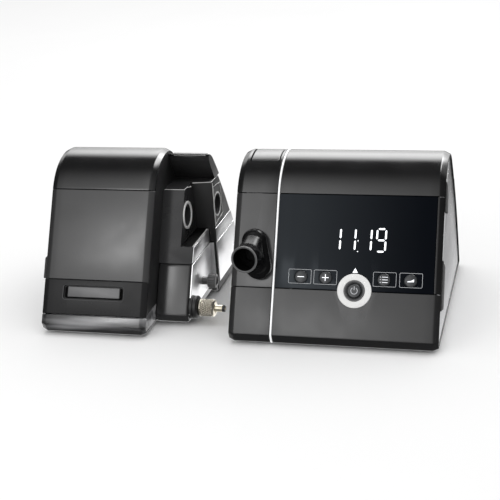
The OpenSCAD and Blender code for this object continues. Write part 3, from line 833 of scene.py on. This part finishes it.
def column_shell():
    right = COLUMN_W - SEAM / 2
    moulding("column_lower_skin", (0, right, 0.0, LOW_END), "satin_black", "column_lower", left=SIDE_EDGE)
    moulding("column_panel_skin", (0, right, MID_START, MID_END), "satin_grey", "column_panel",
             [hole(9.8, -CUT, CUT, face_matrix(*SWIVEL))], slot="column_satin", left=SIDE_EDGE)
    outline = [(RELEASE_Y[0] - 0.9, 115), (RELEASE_Y[1] + 0.9, 115)]
    outline += [(RELEASE_Y[1] + 0.9, 145), (RELEASE_Y[0] - 0.9, 145)]
    opening = prism("opening", outline, RELEASE_X[0] - 0.9, RELEASE_X[1] + 0.9, 1.2)
    moulding("column_cap_skin", (0, right, CAP_START, CAP_END), "gloss_black", "column_cap", [opening],
             left=SIDE_EDGE)
    edges = dict.fromkeys(ALL_EDGES, CRISP)
    moulding("light_stripe_skin", (COLUMN_W + SEAM / 2, MAIN_X - SEAM / 2, 0.0, CAP_END), "light_guide",
             "light_stripe", slot="light_white", lift=0.12, **edges)


def release_button():
    start = STARTS["cap"] + CAP_R * (LEAN - asin((CAP_C.x - RELEASE_Y[0]) / CAP_R))
    stop = STARTS["crest"] + CREST_R * asin((RELEASE_Y[1] - CREST_C.x) / CREST_R)
    x0, x1 = RELEASE_X
    edges = dict.fromkeys(ALL_EDGES, BROAD)
    moulding("release_button_skin", (x0, x1, start, stop), "satin_grey", "release_button",
             body="release", slot="button_satin", **edges)
    # Near-black backing under the button, seen through its gap: painted shade.
    moulding("release_button_shade_rim", (x0 - 0.2, x1 + 0.2, start - 0.2, stop + 0.2), "painted_shade_black",
             body="release", slot=None, lift=-2.2, depth=2.9)


SIDE_PANEL_X = DEV_W - 1.0
GRIPS = [(104, 130), (26, 66)]


def edge_strip(s0, s1, inner, outer, slant):
    """Side outline of a strip that follows the front edge, its ends cut at a slant."""
    stops = [s0 + (s1 - s0) * i / 12 for i in range(13)]
    ends = [s0 + slant] + stops[1:-1] + [s1 - slant]
    return [walk(u_face(v), inner) for v in stops] + [walk(u_face(v), outer) for v in ends][::-1]


def side_panel():
    inset = WALL + SEAM
    plate = prism("side_panel_skin", outline_loop(inset), DEV_W - 3.4, SIDE_PANEL_X, 0.5)
    install(plate, "ventilator", "silver_side", "right_side_panel")
    strip = edge_strip(4, 134, inset + 0.1, inset + 2.2, 0)
    bead = prism("side_panel_bead", strip, SIDE_PANEL_X - 1, DEV_W - 0.1, 0.6)
    install(bead, "ventilator", "silver_satin")
    for index, (s0, s1) in enumerate(GRIPS):
        outline = edge_strip(s0, s1, inset + 0.05, inset + 18, 3)
        grip = prism(f"side_grip_{index + 1}", outline, SIDE_PANEL_X - 1, DEV_W + 0.7, 0.5)
        install(grip, "ventilator", "soft_rubber", "side_grips")


# ---------------- controls and display

KEY_TOP = 1.2
ARM = 2.6
LIST_ROWS = (-2.1, 0, 2.1)
SYMBOLS = {
    "minus": ([[(-ARM, 0), (ARM, 0)]], (), 0.5),
    "plus": ([[(-ARM, 0), (ARM, 0)], [(0, -ARM), (0, -0.3)], [(0, 0.3), (0, ARM)]], (), 0.5),
    "list": ([[(a, y), (b, y)] for a, b in ((-1.2, 3.1), (-2.9, -2.5)) for y in LIST_ROWS], (), 0.3),
    "ramp": ([], [[(-2.6, -1.1), (2.7, -0.9), (2.8, 1.2), (0.8, 0.1), (-2.6, -0.8)]], 0.5),
}


def keys():
    """Four domed keys, each with its symbol."""
    profile = [(0, -4.6), (6.2, -4.6), (6.2, -3.6), (KEY_R, -3.5), (KEY_R, 0.25), (5.05, 0.5), (4.7, 0.68)]
    profile += [(r, KEY_TOP - 0.022 * r * r) for r in (4.3, 3.6, 2.6, 1.3)] + [(0, KEY_TOP)]
    for x, (word, (strokes, tiles, width)) in zip(KEY_X, SYMBOLS.items()):
        cap = lathe(f"key_{word}", profile, face_matrix(x, KEY_S))
        install(cap, word, "key_cap", f"{word}_key")
        mark(f"icon_{word}", word, "lit_mark", (x, KEY_S), 0.5, KEY_TOP + 0.04, strokes, tiles, width)


FRAMES = [(48.2, 66.6), (68.9, 87.4), (116.7, 134.8), (137.6, 155.4)]
FRAME_S = (43.3, 54.6)


def glass_marks():
    """Thin printed outlines round the keys, given a faint painted glow, and the lit marker above the ring.
    """
    loops = []
    for x0, x1 in FRAMES:
        loop = rounded_outline(x1 - x0, FRAME_S[1] - FRAME_S[0], 0.9, 3, cx=(x0 + x1) / 2)
        loops.append(loop + [loop[0]])
    mark("key_frames", "ventilator", "print_with_painted_glow", (0, sum(FRAME_S) / 2), -0.05, 0.04, loops, width=0.22)
    triangle = [(-2.1, -1.7), (2.1, -1.7), (0, 2.0)]
    mark("ring_marker", "ventilator", "lit_mark", (RING[0], 55.2), -0.05, 0.05, tiles=[triangle])


SEGMENT_W = 1.42
UPRIGHT_L = 7.6
FLAT_L = 5.5
DIGIT_S = 80.0
FIGURE_X = (88.7, 100.7, 113.5, 121.5)
SLANT = tan(radians(1.5))


def segment_tile(x0, cx, cy, upright):
    """Lens-ended bar of the seven-segment figure at x0."""
    reach, half = (UPRIGHT_L if upright else FLAT_L) / 2, SEGMENT_W / 2
    bar = [(-half, half - reach), (0, -reach), (half, half - reach)]
    bar += [(half, reach - half), (0, reach), (-half, reach - half)]
    if not upright:
        bar = [(y, -x) for x, y in bar]
    return [(x0 + cx + x + SLANT * (cy + y), cy + y) for x, y in bar]


def clock_display():
    """A clock reading of 11:19 in seven-segment figures, lit from behind the glass."""
    upper, lower, reach = 4.5, -4.5, 9.05
    tiles = [segment_tile(x, 0, y, True) for x in FIGURE_X[:3] for y in (upper, lower)]
    nine = [(-3.5, upper, True), (3.5, upper, True), (3.5, lower, True)]
    nine += [(0, y, False) for y in (reach, 0, -reach)]
    tiles += [segment_tile(FIGURE_X[3], *segment) for segment in nine]
    for dot_y in (-0.9, -9.5):
        tiles.append([(FIGURE_X[1] + 2.3 + x, dot_y + y) for x, y in circle(0.45, 12)])
    mark("clock_figures", "ventilator", "lit_mark", (0, DIGIT_S), -0.05, 0.05, tiles=tiles)


def power_control():
    matrix = face_matrix(*RING)
    ring = [(BEZEL_R + 0.2, -3), (RING_R, -3), (RING_R, 0.1), (RING_R - 0.2, 0.3), (RING_R - 0.6, 0.4)]
    ring += [(BEZEL_R + 0.7, 0.4), (BEZEL_R + 0.35, 0.3), (BEZEL_R + 0.2, 0.1)]
    ring = lathe("power_ring_skin", ring, matrix, 96)
    install(ring, "ventilator", "white_plastic", "power_ring")
    bezel = [(POWER_R + PLAY, -3), (BEZEL_R, -3), (BEZEL_R, 0), (BEZEL_R - 0.3, 0.1), (BEZEL_R - 1.4, -0.1)]
    bezel += [(POWER_R + PLAY + 0.3, -0.6), (POWER_R + PLAY, -0.9)]
    bezel = lathe("power_bezel_skin", bezel, matrix, 96)
    install(bezel, "ventilator", "bezel_grey", "power_bezel")
    button = [(0, -4.4), (POWER_R + 1.2, -4.4), (POWER_R + 1.2, -3.2), (POWER_R, -3.1), (POWER_R, 0.2)]
    button += [(POWER_R - 0.4, 0.55), (POWER_R - 1.2, 0.66), (2.5, 0.7), (0, 0.7)]
    install(lathe("power_button_skin", button, matrix), "power", "key_cap", "power_button")
    turns = [radians(90 + 34 + i * (360 - 68) / 24) for i in range(25)]
    arc = [(ARM * cos(a), ARM * sin(a)) for a in turns]
    # The printed power symbol carries a faint painted glow from its material.
    mark("icon_power", "power", "print_with_painted_glow", RING, 0.5, 0.76, [arc, [(0, 0.7), (0, 3.4)]], width=0.45)


# ---------------- outlet elbow

BULB = (19.5, 75.3)
BULB_R = 10.5
ELBOW_LIFT = 0.4
ELBOW_H = 10.8
ELBOW_ROUND = 5.0
MOUTH = Vector((17.4, 4.6, 73.1))
MOUTH_DIR = Vector((-0.0866, -0.9851, 0.1486)).normalized()
CONE_R = 11.0


def capsule_outline(cut):
    """Outline of the elbow's base: two round ends joined by straight flanks."""
    far = Vector((BULB[0] - SWIVEL[0], BULB[1] - SWIVEL[1]))
    axis = atan2(far.y, far.x)
    steps = 28
    points = []
    for centre, start in ((Vector((0, 0)), axis + pi / 2), (far, axis - pi / 2)):
        for i in range(steps + 1):
            a = start + pi * i / steps
            points.append(tuple(centre + (BULB_R - cut) * Vector((cos(a), sin(a)))))
    return points


def outlet_elbow():
    matrix = face_matrix(*SWIVEL, ELBOW_LIFT)
    layers = [(capsule_outline(0.6), 0.0), (capsule_outline(0.0), 0.6)]
    for a in quarter_turn(7):
        cut = ELBOW_ROUND * (1 - cos(a))
        layers.append((capsule_outline(cut), ELBOW_H - ELBOW_ROUND + ELBOW_ROUND * sin(a)))
    body = stack("outlet_elbow_skin", layers, matrix)
    turn = MOUTH_DIR.to_track_quat("Z", "X").to_matrix().to_4x4()
    mouth = Matrix.Translation(to_frame(*MOUTH)) @ turn @ Matrix.Scale(MM, 4)
    ring = [mouth @ Vector((x, y, -9)) for x, y in circle(CONE_R - 0.3, 48)]
    base = [matrix @ Vector((x, y, 6.5)) for x, y in capsule_outline(2.2)]
    fairing = wrap("fairing", ring + base)
    cone = lathe("cone", [(0, -10), (CONE_R, -10), (CONE_R, -0.5), (CONE_R - 0.5, 0), (0, 0)], mouth)
    spigot = hole(9.0, -15, 1.0, matrix)
    carve(body, [fairing, cone, spigot], "UNION")
    modify(body, "REMESH", mode="VOXEL", voxel_size=0.45 * MM)
    modify(body, "SMOOTH", factor=0.6, iterations=18)
    bake(body)
    bore = lathe("bore", [(0, -17), (9.2, -17), (9.2, 0.5), (10.0, 1.5), (0, 1.5)], mouth)
    carve(body, [bore, hole(7.4, -17, 6, matrix)])
    install(body, "elbow", "elbow_plastic", "outlet_elbow", sharp=40)
    lip = [(9.3, 0.02), (9.3, -0.6), (10.9, -0.6), (10.9, 0.1), (10.4, 0.35), (9.7, 0.3)]
    install(lathe("outlet_rim", lip, mouth), "elbow", "bezel_grey")
    # Near-black lining of the bore: painted shade inside the mouth.
    sleeve = [(9.25, -0.4), (9.25, -15), (5.0, -15), (5.0, -14.7), (8.95, -14.5), (8.95, -0.6)]
    install(lathe("outlet_bore_shade", sleeve, mouth, 96), "elbow", "painted_shade_black")


# ---------------- humidifier shell

HANDLE = (-119.0, 28.0)
HANDLE_W = 55.0
HANDLE_L = 13.0
BUTTON_AT = (37.4, 47.5)
BUTTON_PROUD = 4.7
BASIN_Z = 42.0
TANK_GAP = 0.35


def hood_panel(name, u0, u1, look, node=None, cutters=(), body="hood", **options):
    """Panel over the humidifier's full width."""
    span = (HUM_LEFT, HUM_RIGHT, u0, u1)
    moulding(name, span, look, node, cutters, body, left=SIDE_EDGE, right=SIDE_EDGE, **options)


def humidifier_shell():
    tank_top = (TANK_SEAM_Z - TOE_H) / sin(LEAN)
    hood_panel("tank_skin", u_rear(TANK_SEAM_Z - 0.3), TOTAL + u_face(tank_top - TANK_GAP), "smoky_tank",
               "water_tank", body="humidifier", slot="smoky_tank", start=BROAD, stop=BROAD)
    at_handle = face_matrix(*HANDLE)
    recess = [
        slot_cutter(HANDLE_W, HANDLE_L, 2.5, -1.6, 4, at_handle),
        slot_cutter(HANDLE_W - 3, HANDLE_L - 3, 2, -2.8, 4, at_handle),
    ]
    hood_panel("hood_front_skin", u_face(tank_top + TANK_GAP), LOW_END, "strip_black", "hood_shell", recess)
    hood_panel("hood_panel_skin", MID_START, MID_END, "satin_grey", "hood_front_panel", slot="column_satin")
    hood_panel("hood_cap_skin", CAP_START, CAP_END, "gloss_black", "hood_cap")
    hood_panel("hood_rear_skin", REAR_START, u_rear(TANK_SEAM_Z + 0.3), "gloss_black")


def cut_loop(inset, keep_above, z):
    """Side outline at an inset, cut off level at height z."""
    points = []
    loop = outline_loop(inset)
    for p, q in zip(loop, loop[1:] + loop[:1]):
        inside_p, inside_q = (p.y > z) == keep_above, (q.y > z) == keep_above
        if inside_p:
            points.append(p)
        if inside_p != inside_q:
            points.append(p.lerp(q, (z - p.y) / (q.y - p.y)))
    return points


def front_y(z, inset=0.0):
    """Place of the leaning front at height z, moved inwards."""
    return (z - TOE_H) / tan(LEAN) + inset / sin(LEAN)


def side_outline(z0, z1, front_inset, rear_inset, steps):
    """Side outline between two heights, at an inset from the leaning front and from the curved rear."""
    rows = [z1 + (z0 - z1) * i / steps for i in range(steps + 1)]
    return [(front_y(z, front_inset), z) for z in (z0, z1)] + [(rear_y(z, rear_inset), z) for z in rows]


def water_basin():
    basin = prism("tank_basin", side_outline(5, BASIN_Z, 7, 7, 6), HUM_LEFT + 5, HUM_RIGHT - 3.8, 0.8)
    room = prism("room", side_outline(7.5, BASIN_Z + 10, 9.5, 9.5, 6), HUM_LEFT + 7.5, HUM_RIGHT - 6.3)
    install(carve(basin, [room]), "humidifier", "smoky_tank")


def leaning_outline(w, h, r, up):
    """Rounded outline on the side wall that leans with the front face, up above the button's middle."""
    points = rounded_outline(w, h, r, cx=BUTTON_AT[0], cy=BUTTON_AT[1] + up)
    return [(y + (z - BUTTON_AT[1]) / tan(LEAN), z) for y, z in points]


def humidifier_sides():
    hood_side = cut_loop(CHAMFER_D, True, TANK_SEAM_Z + TANK_GAP)
    tank_side = cut_loop(CHAMFER_D, False, TANK_SEAM_Z - TANK_GAP)
    button_hole = prism("opening", leaning_outline(12.6, 16.6, 1.5, 0), HUM_LEFT - 1.7, HUM_LEFT + WALL + 2)
    port_holes = [hole(PORT_R, -CUT, 3, dock_matrix(HUM_RIGHT, at)) for at in (PORT_FRONT, PORT_REAR)]
    for name, x0, x1, openings in (
        ("left", HUM_LEFT + 0.3, HUM_LEFT + WALL, [button_hole]),
        ("right", HUM_RIGHT - WALL, HUM_RIGHT - 0.3, port_holes),
    ):
        wall = carve(prism(f"hood_side_{name}", hood_side, x0, x1, 0.4, 2), openings)
        install(wall, "hood", "matte_black")
        floor_wall = prism(f"tank_side_{name}", tank_side, x0, x1, 0.4, 2)
        install(floor_wall, "humidifier", "smoky_tank")


def front_handle():
    at_plate = face_matrix(HANDLE[0] + 0.2, HANDLE[1] + 0.5)
    plate = pad("front_handle_skin", 46.6, 8.8, 0.8, -1.6, -0.3, 0.5, at_plate)
    install(plate, "handle", "handle_satin", "front_handle")
    at_handle = face_matrix(*HANDLE)
    # Near-black tray at the bottom of the recess: painted shade in the gap round the plate.
    shade_tray = pad("handle_shade_tray", HANDLE_W - 3.4, HANDLE_L - 3.4, 1.8, -2.9, -2.5, 0.1, at_handle)
    install(shade_tray, "hood", "painted_shade_black")
    bm = bmesh.new()
    outer = rounded_outline(HANDLE_W, HANDLE_L, 2.5)
    inner = rounded_outline(HANDLE_W - 1, HANDLE_L - 1, 2.0)
    rings = []
    for ring, h in ((outer, -0.4), (outer, 0.05), (inner, -0.15), (inner, -0.6)):
        rings.append([bm.verts.new(at_handle @ Vector((x, y, h))) for x, y in ring])
    for low, high in zip(rings, rings[1:] + rings[:1]):
        bridge(bm, low, high)
    install(new_object("handle_rim", bm), "hood", "satin_grey")


def side_button():
    x0 = HUM_LEFT - BUTTON_PROUD
    button = prism("side_button_skin", leaning_outline(12, 16, 1.2, 0), x0, HUM_LEFT + 3.2, 0.7)
    for k in range(-2, 3):
        carve(button, [prism("groove", leaning_outline(8.5, 0.9, 0.3, k * 2.4), x0 - 1, x0 + 0.5)])
    install(button, "side_release", "matte_black", "side_button")


# ---------------- docking block

BLOCK_X = HUM_RIGHT - 0.4
SEAM_LOW = BLOCK_SEAM_Z - SEAM / 2
SEAM_HIGH = BLOCK_SEAM_Z + SEAM / 2


def block_y(z):
    """Place of the block's leaning front at height z."""
    return front_y(z, BLOCK_SETBACK)


def block_front(z0, z1, y1, inset=0.0):
    """Side outline of the block's front part, as far back as y1."""
    front = [(block_y(z) + inset, z) for z in (z0, z1)]
    return front + [(y1, z1), (y1, z0)]


def block_rear(z0, z1, y0):
    """Side outline of the block's rear part, from y0 to the curved rear."""
    rows = [z1 + (z0 - z1) * i / 8 for i in range(9)]
    return [(y0, z0), (y0, z1)] + [(rear_y(z, BLOCK_INSET), z) for z in rows]


def docking_block():
    toe = [(block_y(TOE_H) + TOE_BACK, FOOT_H + 1), (block_y(TOE_H), TOE_H)]
    outline = toe + [(block_y(SEAM_LOW), SEAM_LOW), (STEP_Y, SEAM_LOW), (STEP_Y, FOOT_H + 1)]
    low_front = prism("tank_block_front", outline, BLOCK_X, BLOCK_FRONT_X - 1.3, 2.4, 5)
    carve(low_front, [hole(4.1, -6, 9, dock_matrix(BLOCK_FRONT_X, PLUG))])
    install(low_front, "humidifier", "satin_grey")
    outline = block_rear(2.5, SEAM_LOW, STEP_Y - 1)
    low_rear = prism("tank_block_rear", outline, BLOCK_X, BLOCK_REAR_X - 1.3, 1.4, 4)
    install(low_rear, "humidifier", "matte_black")

    upper = prism("port_block_front", block_front(SEAM_HIGH, LEDGE_Z, STEP_Y), BLOCK_X, BLOCK_PORT_X)
    rim = prism("rim", block_front(SEAM_HIGH, RIM_Z, STEP_Y), BLOCK_X, BLOCK_FRONT_X - 1.3)
    soften(carve(upper, [rim], "UNION"), 1.8, 5)
    carve(upper, [hole(PORT_R, -30, 6, dock_matrix(BLOCK_PORT_X, PORT_FRONT))])
    install(upper, "hood", "strip_black", "port_block")
    # Near-black shelf on the rim's top: painted shade.
    front, low, high = block_y(RIM_Z) + 2.2, RIM_Z - 0.4, RIM_Z + 0.15
    shade_shelf = [(front, low), (front, high), (STEP_Y, high), (STEP_Y, low)]
    shade_shelf = prism("rim_shade_shelf", shade_shelf, BLOCK_PORT_X + 0.4, BLOCK_FRONT_X - 1.6, 0.1, 1)
    install(shade_shelf, "hood", "painted_shade_black")
    outline = block_rear(SEAM_HIGH, LEDGE_Z, STEP_Y)
    rear = prism("port_block_rear", outline, BLOCK_X, BLOCK_REAR_X - 0.4, 0.9)
    carve(rear, [hole(PORT_R, -60, 6, dock_matrix(BLOCK_REAR_X, PORT_REAR))])
    install(rear, "hood", "matte_black")


def top_block():
    """Leaning wall behind the ledge and the bevelled block above it."""
    first_turn = radians(8)
    turns = [first_turn + (CREST_TURN - first_turn) * i / 10 for i in range(11)]
    rear = [tuple(CREST_C + (CREST_R - 5) * outward(a)) for a in turns]
    heights = [rear[-1][1] + (LEDGE_Z - rear[-1][1]) * i / 5 for i in range(1, 6)]
    rear += [(rear_y(z, 5), z) for z in heights]
    outline = [(113.6, LEDGE_Z + 0.1), (101.4, 123.5), (101.4, 127.0), (103.5, 128.9)] + rear
    block = prism("top_block", outline, BLOCK_X, BLOCK_REAR_X - 1, 1.0)
    install(block, "hood", "matte_black")
    facet = [(101.2, 124.0), (101.2, 127.2), (103.3, 129.2), (105.5, 129.5), (105.5, 127.8), (103.0, 124.6)]
    lip = prism("top_block_facet", facet, HUM_RIGHT + 3, BLOCK_REAR_X - 3, 0.25, 2)
    install(lip, "hood", "satin_black")


def silver_plates():
    """Silver facings of the docking face, in two steps and two heights."""
    z0, z1 = BLOCK_INSET + FOOT_H + 0.1, SEAM_LOW - 0.3
    openings = [hole(10.3, -CUT, CUT, dock_matrix(BLOCK_FRONT_X, PLUG))]
    openings += [hole(3.7, -CUT, CUT, dock_matrix(BLOCK_FRONT_X, KNOB))]
    step = [(STEP_Y - 1.2, z0), (STEP_Y - 1.2, z1), (STEP_Y - 0.1, z1), (STEP_Y - 0.1, z0)]
    step = prism("tank_plate_step", step, BLOCK_FRONT_X - 0.8, BLOCK_REAR_X - 2.5, 0.4)
    install(step, "humidifier", "silver_satin")
    for name, z0, z1, body, look, cutters in (
        ("tank_plate", z0, z1, "humidifier", "silver_satin", openings),
        ("hood_plate", SEAM_HIGH + 0.3, RIM_Z, "hood", "silver_grey", []),
    ):
        outline = block_front(z0, z1, STEP_Y - 1.3, 0.8)
        front = prism(f"{name}_front", outline, BLOCK_FRONT_X - 1.2, BLOCK_FRONT_X, 0.35)
        install(carve(front, cutters), body, look, name)
        outline = block_rear(z0, z1, STEP_Y + 1.0)
        rear = prism(f"{name}_rear", outline, BLOCK_REAR_X - 1.2, BLOCK_REAR_X, 0.35)
        install(rear, body, look)


def port_parts():
    """White seal ring and dark sleeve of each air port."""
    wide = [(12.2, 0), (12.2, 0.5), (11.8, 0.85), (10.2, 0.95), (9.8, 0.6), (PORT_R, 0.3)]
    narrow = [(10.9, 0), (10.9, 0.3), (10.5, 0.45), (9.9, 0.45), (PORT_R, 0.2)]
    inner, outer = PORT_R - 0.9, PORT_R + 0.6
    sleeve = [(PORT_R, -0.2), (inner, -0.6), (inner, -14), (outer, -14), (outer, -0.4)]
    for name, at, x, ring, sink, node in (
        ("front", PORT_FRONT, BLOCK_PORT_X, wide, 0.1, "port_seals"),
        ("rear", PORT_REAR, BLOCK_REAR_X, narrow, 0.35, None),
    ):
        seal = lathe(f"port_seal_{name}", [(PORT_R, 0)] + ring, dock_matrix(x - sink, at))
        install(seal, "hood", "pale_seal_and_highlight", node)
        install(lathe(f"port_sleeve_{name}", sleeve, dock_matrix(x, at)), "hood", "matte_black")


def highlight_beads():
    """Thin pale beads along the edges of the ledge, the port recess and the rear port's frame: painted edge
    highlights.
    """
    x, y, z = BLOCK_PORT_X - 0.3, block_y(LEDGE_Z) + 0.5, LEDGE_Z + 0.05
    rear_x = BLOCK_REAR_X - 0.8
    low, high = RIM_Z + 3.4, LEDGE_Z - 5
    border = [(-8.6, low), (-8.6, high), (11.6, high - 2), (14.2, low + 3), (-8.6, low)]
    beads = {
        "ledge_highlight_bead": (0.28, [(HUM_RIGHT + 0.5, y, z), (x, y, z), (x, y + 6, z), (x + 3.2, y + 9, z)]),
        "step_highlight_bead": (0.28, [(x + 1.5, STEP_Y - 3, z), (rear_x, STEP_Y + 0.3, z), (rear_x, 113.0, z)]),
        "rear_port_edge_highlight": (0.3, [(BLOCK_REAR_X - 0.1, STEP_Y + 0.8, h) for h in (RIM_Z + 2, LEDGE_Z - 1)]),
        "rear_port_frame_highlight": (0.3, [(BLOCK_REAR_X - 0.2, PORT_REAR[0] + dy, h) for dy, h in border]),
        "rim_highlight_bead": (0.5, [
            (BLOCK_FRONT_X - 1.5, block_y(RIM_Z) + 1.2, RIM_Z),
            (BLOCK_FRONT_X - 1.5, STEP_Y - 2, RIM_Z),
        ]),
        "top_block_highlight_bead": (0.25, [(HUM_RIGHT + 4, 102.2, 128.2), (BLOCK_REAR_X - 4, 102.2, 128.2)]),
    }
    for name, (radius, points) in beads.items():
        install(tube_along(name, points, radius), "hood", "pale_seal_and_highlight")


def knurl(angle, h):
    """Crossed grooves round the collar."""
    if not 8.0 < h < 18.4:
        return 0.0
    twist = 11 * angle
    return -0.85 * max(abs(sin(twist + h)), abs(sin(twist - h))) ** 5


def ribs(angle, h):
    return -0.45 * max(0.0, cos(16 * angle)) if 5.9 < h < 11.9 else 0.0


def plug_and_collar():
    at_plug = dock_matrix(BLOCK_FRONT_X, PLUG)
    base = [(0, -1.1), (9.4, -1.1), (9.9, -0.6), (9.9, 1.4), (9.2, 1.7), (9.2, 2.5), (9.9, 2.8), (9.9, 4.6)]
    base += [(9.2, 5.4), (7.4, 6.0), (0, 6.0)]
    install(lathe("plug_base", base, at_plug), "humidifier", "matte_black", "heater_plug")
    pin = [(0, 5.5), (2.8, 5.5), (2.8, 27.6), (2.5, 28.3), (1.6, 28.5), (1.3, 27.6), (0, 27.4)]
    install(lathe("plug_pin", pin, at_plug), "humidifier", "pin_metal")
    tip = [(2.6, 26.3), (2.95, 26.3), (2.95, 28.2), (2.6, 28.6), (1.7, 28.6), (1.7, 28.2)]
    install(lathe("plug_pin_tip", tip, at_plug), "humidifier", "matte_black")
    rows = [(2.85, 6.3), (6.4, 6.3), (6.9, 6.7), (7.3, 7.3)]
    rows += [(7.3, 7.9 + 0.3 * i) for i in range(36)]
    rows += [(6.9, 19.2), (6.2, 19.9), (3.4, 20.0), (2.85, 19.4)]
    collar = lathe("collar_skin", rows, at_plug, 168, knurl)
    install(collar, "collar", "nickel", "collar_nut", sharp=60)


def latch_knob():
    profile = [(0, -1), (3.5, -1), (3.5, 5.0), (5.6, 5.2), (6.2, 5.8), (6.2, 6.0), (6.2, 11.8), (6.1, 12.0)]
    profile += [(5.5, 12.5), (4.2, 12.5), (3.8, 11.6), (0, 11.4)]
    knob = lathe("latch_knob_skin", profile, dock_matrix(BLOCK_FRONT_X, KNOB), 128, ribs)
    outline = rounded_outline(2.8, 6, 0.6, cx=KNOB[0], cy=KNOB[1] - 6)
    carve(knob, [prism("tab", outline, BLOCK_FRONT_X + 8, BLOCK_FRONT_X + 12.4)], "UNION")
    install(knob, "latch_knob", "handle_satin", "dock_latch")


# ---------------- camera, floor and light

CAMERA_PLACE = (256.6, -813.1, 415.7)
CAMERA_YAW = radians(15.95)
CAMERA_PITCH = radians(21.45)
CAMERA_ROLL = radians(-4.05)
CAMERA_LENS = 83.66
DOME = 0.78
BACKDROP = 1.1


def camera():
    turn = Matrix.Rotation(CAMERA_YAW, 4, "Z") @ Matrix.Rotation(pi / 2 - CAMERA_PITCH, 4, "X")
    turn = turn @ Matrix.Rotation(CAMERA_ROLL, 4, "Z")
    data = bpy.data.cameras.new("camera")
    data.lens = CAMERA_LENS
    data.sensor_width = 36.0
    data.clip_start = 0.05
    obj = add_object("camera", data)
    obj.matrix_world = Matrix.Translation(to_frame(*CAMERA_PLACE)) @ turn
    bpy.context.scene.camera = obj


def area_light(name, place, target, width, height, power):
    data = bpy.data.lights.new(name, "AREA")
    data.shape = "RECTANGLE"
    data.size = width
    data.size_y = height
    data.energy = power
    obj = add_object(name, data)
    obj.location = place
    obj.rotation_euler = (Vector(target) - Vector(place)).to_track_quat("-Z", "Y").to_euler()
    obj.visible_camera = False
    return obj


def floor():
    bpy.ops.mesh.primitive_plane_add(size=12, location=(0, 0, -0.0002))
    plane = bpy.context.object
    plane.name = "floor"
    paper = surface("floor_paper", grey(0.93), [0.01, 300.0], [0.85, 0.95, 100.0], [2.0, 0.05, 0.05])
    paper.set(Specular_IOR_Level=0.0)
    dress(plane.data, "floor_paper")
    plane.visible_glossy = False


def studio_world():
    """White backdrop and even fill, with a pattern of soft boxes that only reflections see."""
    world = bpy.data.worlds.new("studio")
    world.use_nodes = True
    world.cycles.sampling_method = "NONE"
    bpy.context.scene.world = world
    tree = world.node_tree
    tree.nodes.clear()
    place = add_node(tree, "TexCoord").outputs["Generated"]
    x, y, z = add_node(tree, "SeparateXYZ", Vector=place).outputs

    def combine(operation, values):
        result = values[0]
        for value in values[1:]:
            made = add_node(tree, "Math", operation=operation)
            feed(made.inputs[0], result)
            feed(made.inputs[1], value)
            result = made.outputs[0]
        return result

    def soft_box(*gates):
        """Product of smooth steps, each given as axis, start, stop, low and high."""
        return combine("MULTIPLY", [map_range(tree, *gate, "SMOOTHSTEP") for gate in gates])

    def background(strength):
        return add_node(tree, "Background", Color=(1, 1, 1, 1), Strength=strength).outputs[0]

    def choose(test, otherwise, chosen):
        made = add_node(tree, "MixShader")
        for socket, source in zip(made.inputs, (test, otherwise, chosen)):
            feed(socket, source)
        return made.outputs[0]

    above = (z, -0.02, 0.1, 0, 1)
    behind = soft_box((z, 0.25, 0.65, 2.3, 7.4), (y, 0.45, 0.71, 0.02, 1), (x, -0.5, -0.25, 0.6, 1),
                      (x, 0.36, 0.5, 1, 0.35), above)
    front = soft_box((y, 0.05, -0.85, 0, 3.0), (x, -0.46, -0.3, 0.3, 1), (x, -0.26, -0.07, 1, 0.3),
                     (x, 0.52, 0.74, 1, 0.2), above)
    side = soft_box((x, 0.08, 0.22, 0, 14), (x, 0.34, 0.46, 1, 0.08), (y, 0.02, 0.3, 0, 1),
                    (z, 0.5, 0.75, 0, 1))
    below = soft_box((z, -0.2, -0.4, 0.3, 1.3), (z, -0.2, -0.02, 1, 0), (y, 0, 0.3, 0.08, 1))
    pattern = combine("ADD", [behind, front, side, below, 0.06])
    rays = add_node(tree, "LightPath").outputs
    lit = choose(rays["Is Glossy Ray"], background(DOME), background(pattern))
    seen = choose(rays["Is Camera Ray"], lit, background(BACKDROP))
    add_node(tree, "OutputWorld", Surface=seen)


def glint(name, x, s, width, height, power):
    """Small soft box where the camera sees its reflection in the front face; only reflections see it."""
    point = to_frame(x, *face_yz(s))
    normal = Vector((0, -sin(LEAN), cos(LEAN))).normalized()
    view = (to_frame(*CAMERA_PLACE) - point).normalized()
    away = 2 * view.dot(normal) * normal - view
    area_light(name, point + 0.8 * away, point, width, height, power).data.diffuse_factor = 0.0


def lights():
    area_light("overhead", (0.1, 0.6, 1.8), (0, 0, 0), 2.8, 2.8, 19).visible_glossy = False
    glint("panel_glint", HUM_RIGHT - 12, 68, 0.08, 0.16, 0.3)
    glint("lower_glint", 64, 15, 0.182, 0.084, 0.16)
    glint("handle_glint", HANDLE[0] + 4, HANDLE[1], 0.064, 0.048, 0.03)


# ---------------- build

for make in (
    dark_plastics, display_looks, pale_plastics, silver_finishes, metals, soft_and_inner, dress_cad_nodes,
    ventilator_shell, column_shell, release_button, side_panel, keys, glass_marks, clock_display,
    power_control, outlet_elbow, humidifier_shell, humidifier_sides, water_basin, front_handle, side_button,
    docking_block, top_block, silver_plates, port_parts, highlight_beads, plug_and_collar, latch_knob,
    floor, camera, studio_world, lights,
):
    make()
bpy.context.scene.view_settings.view_transform = "Standard"
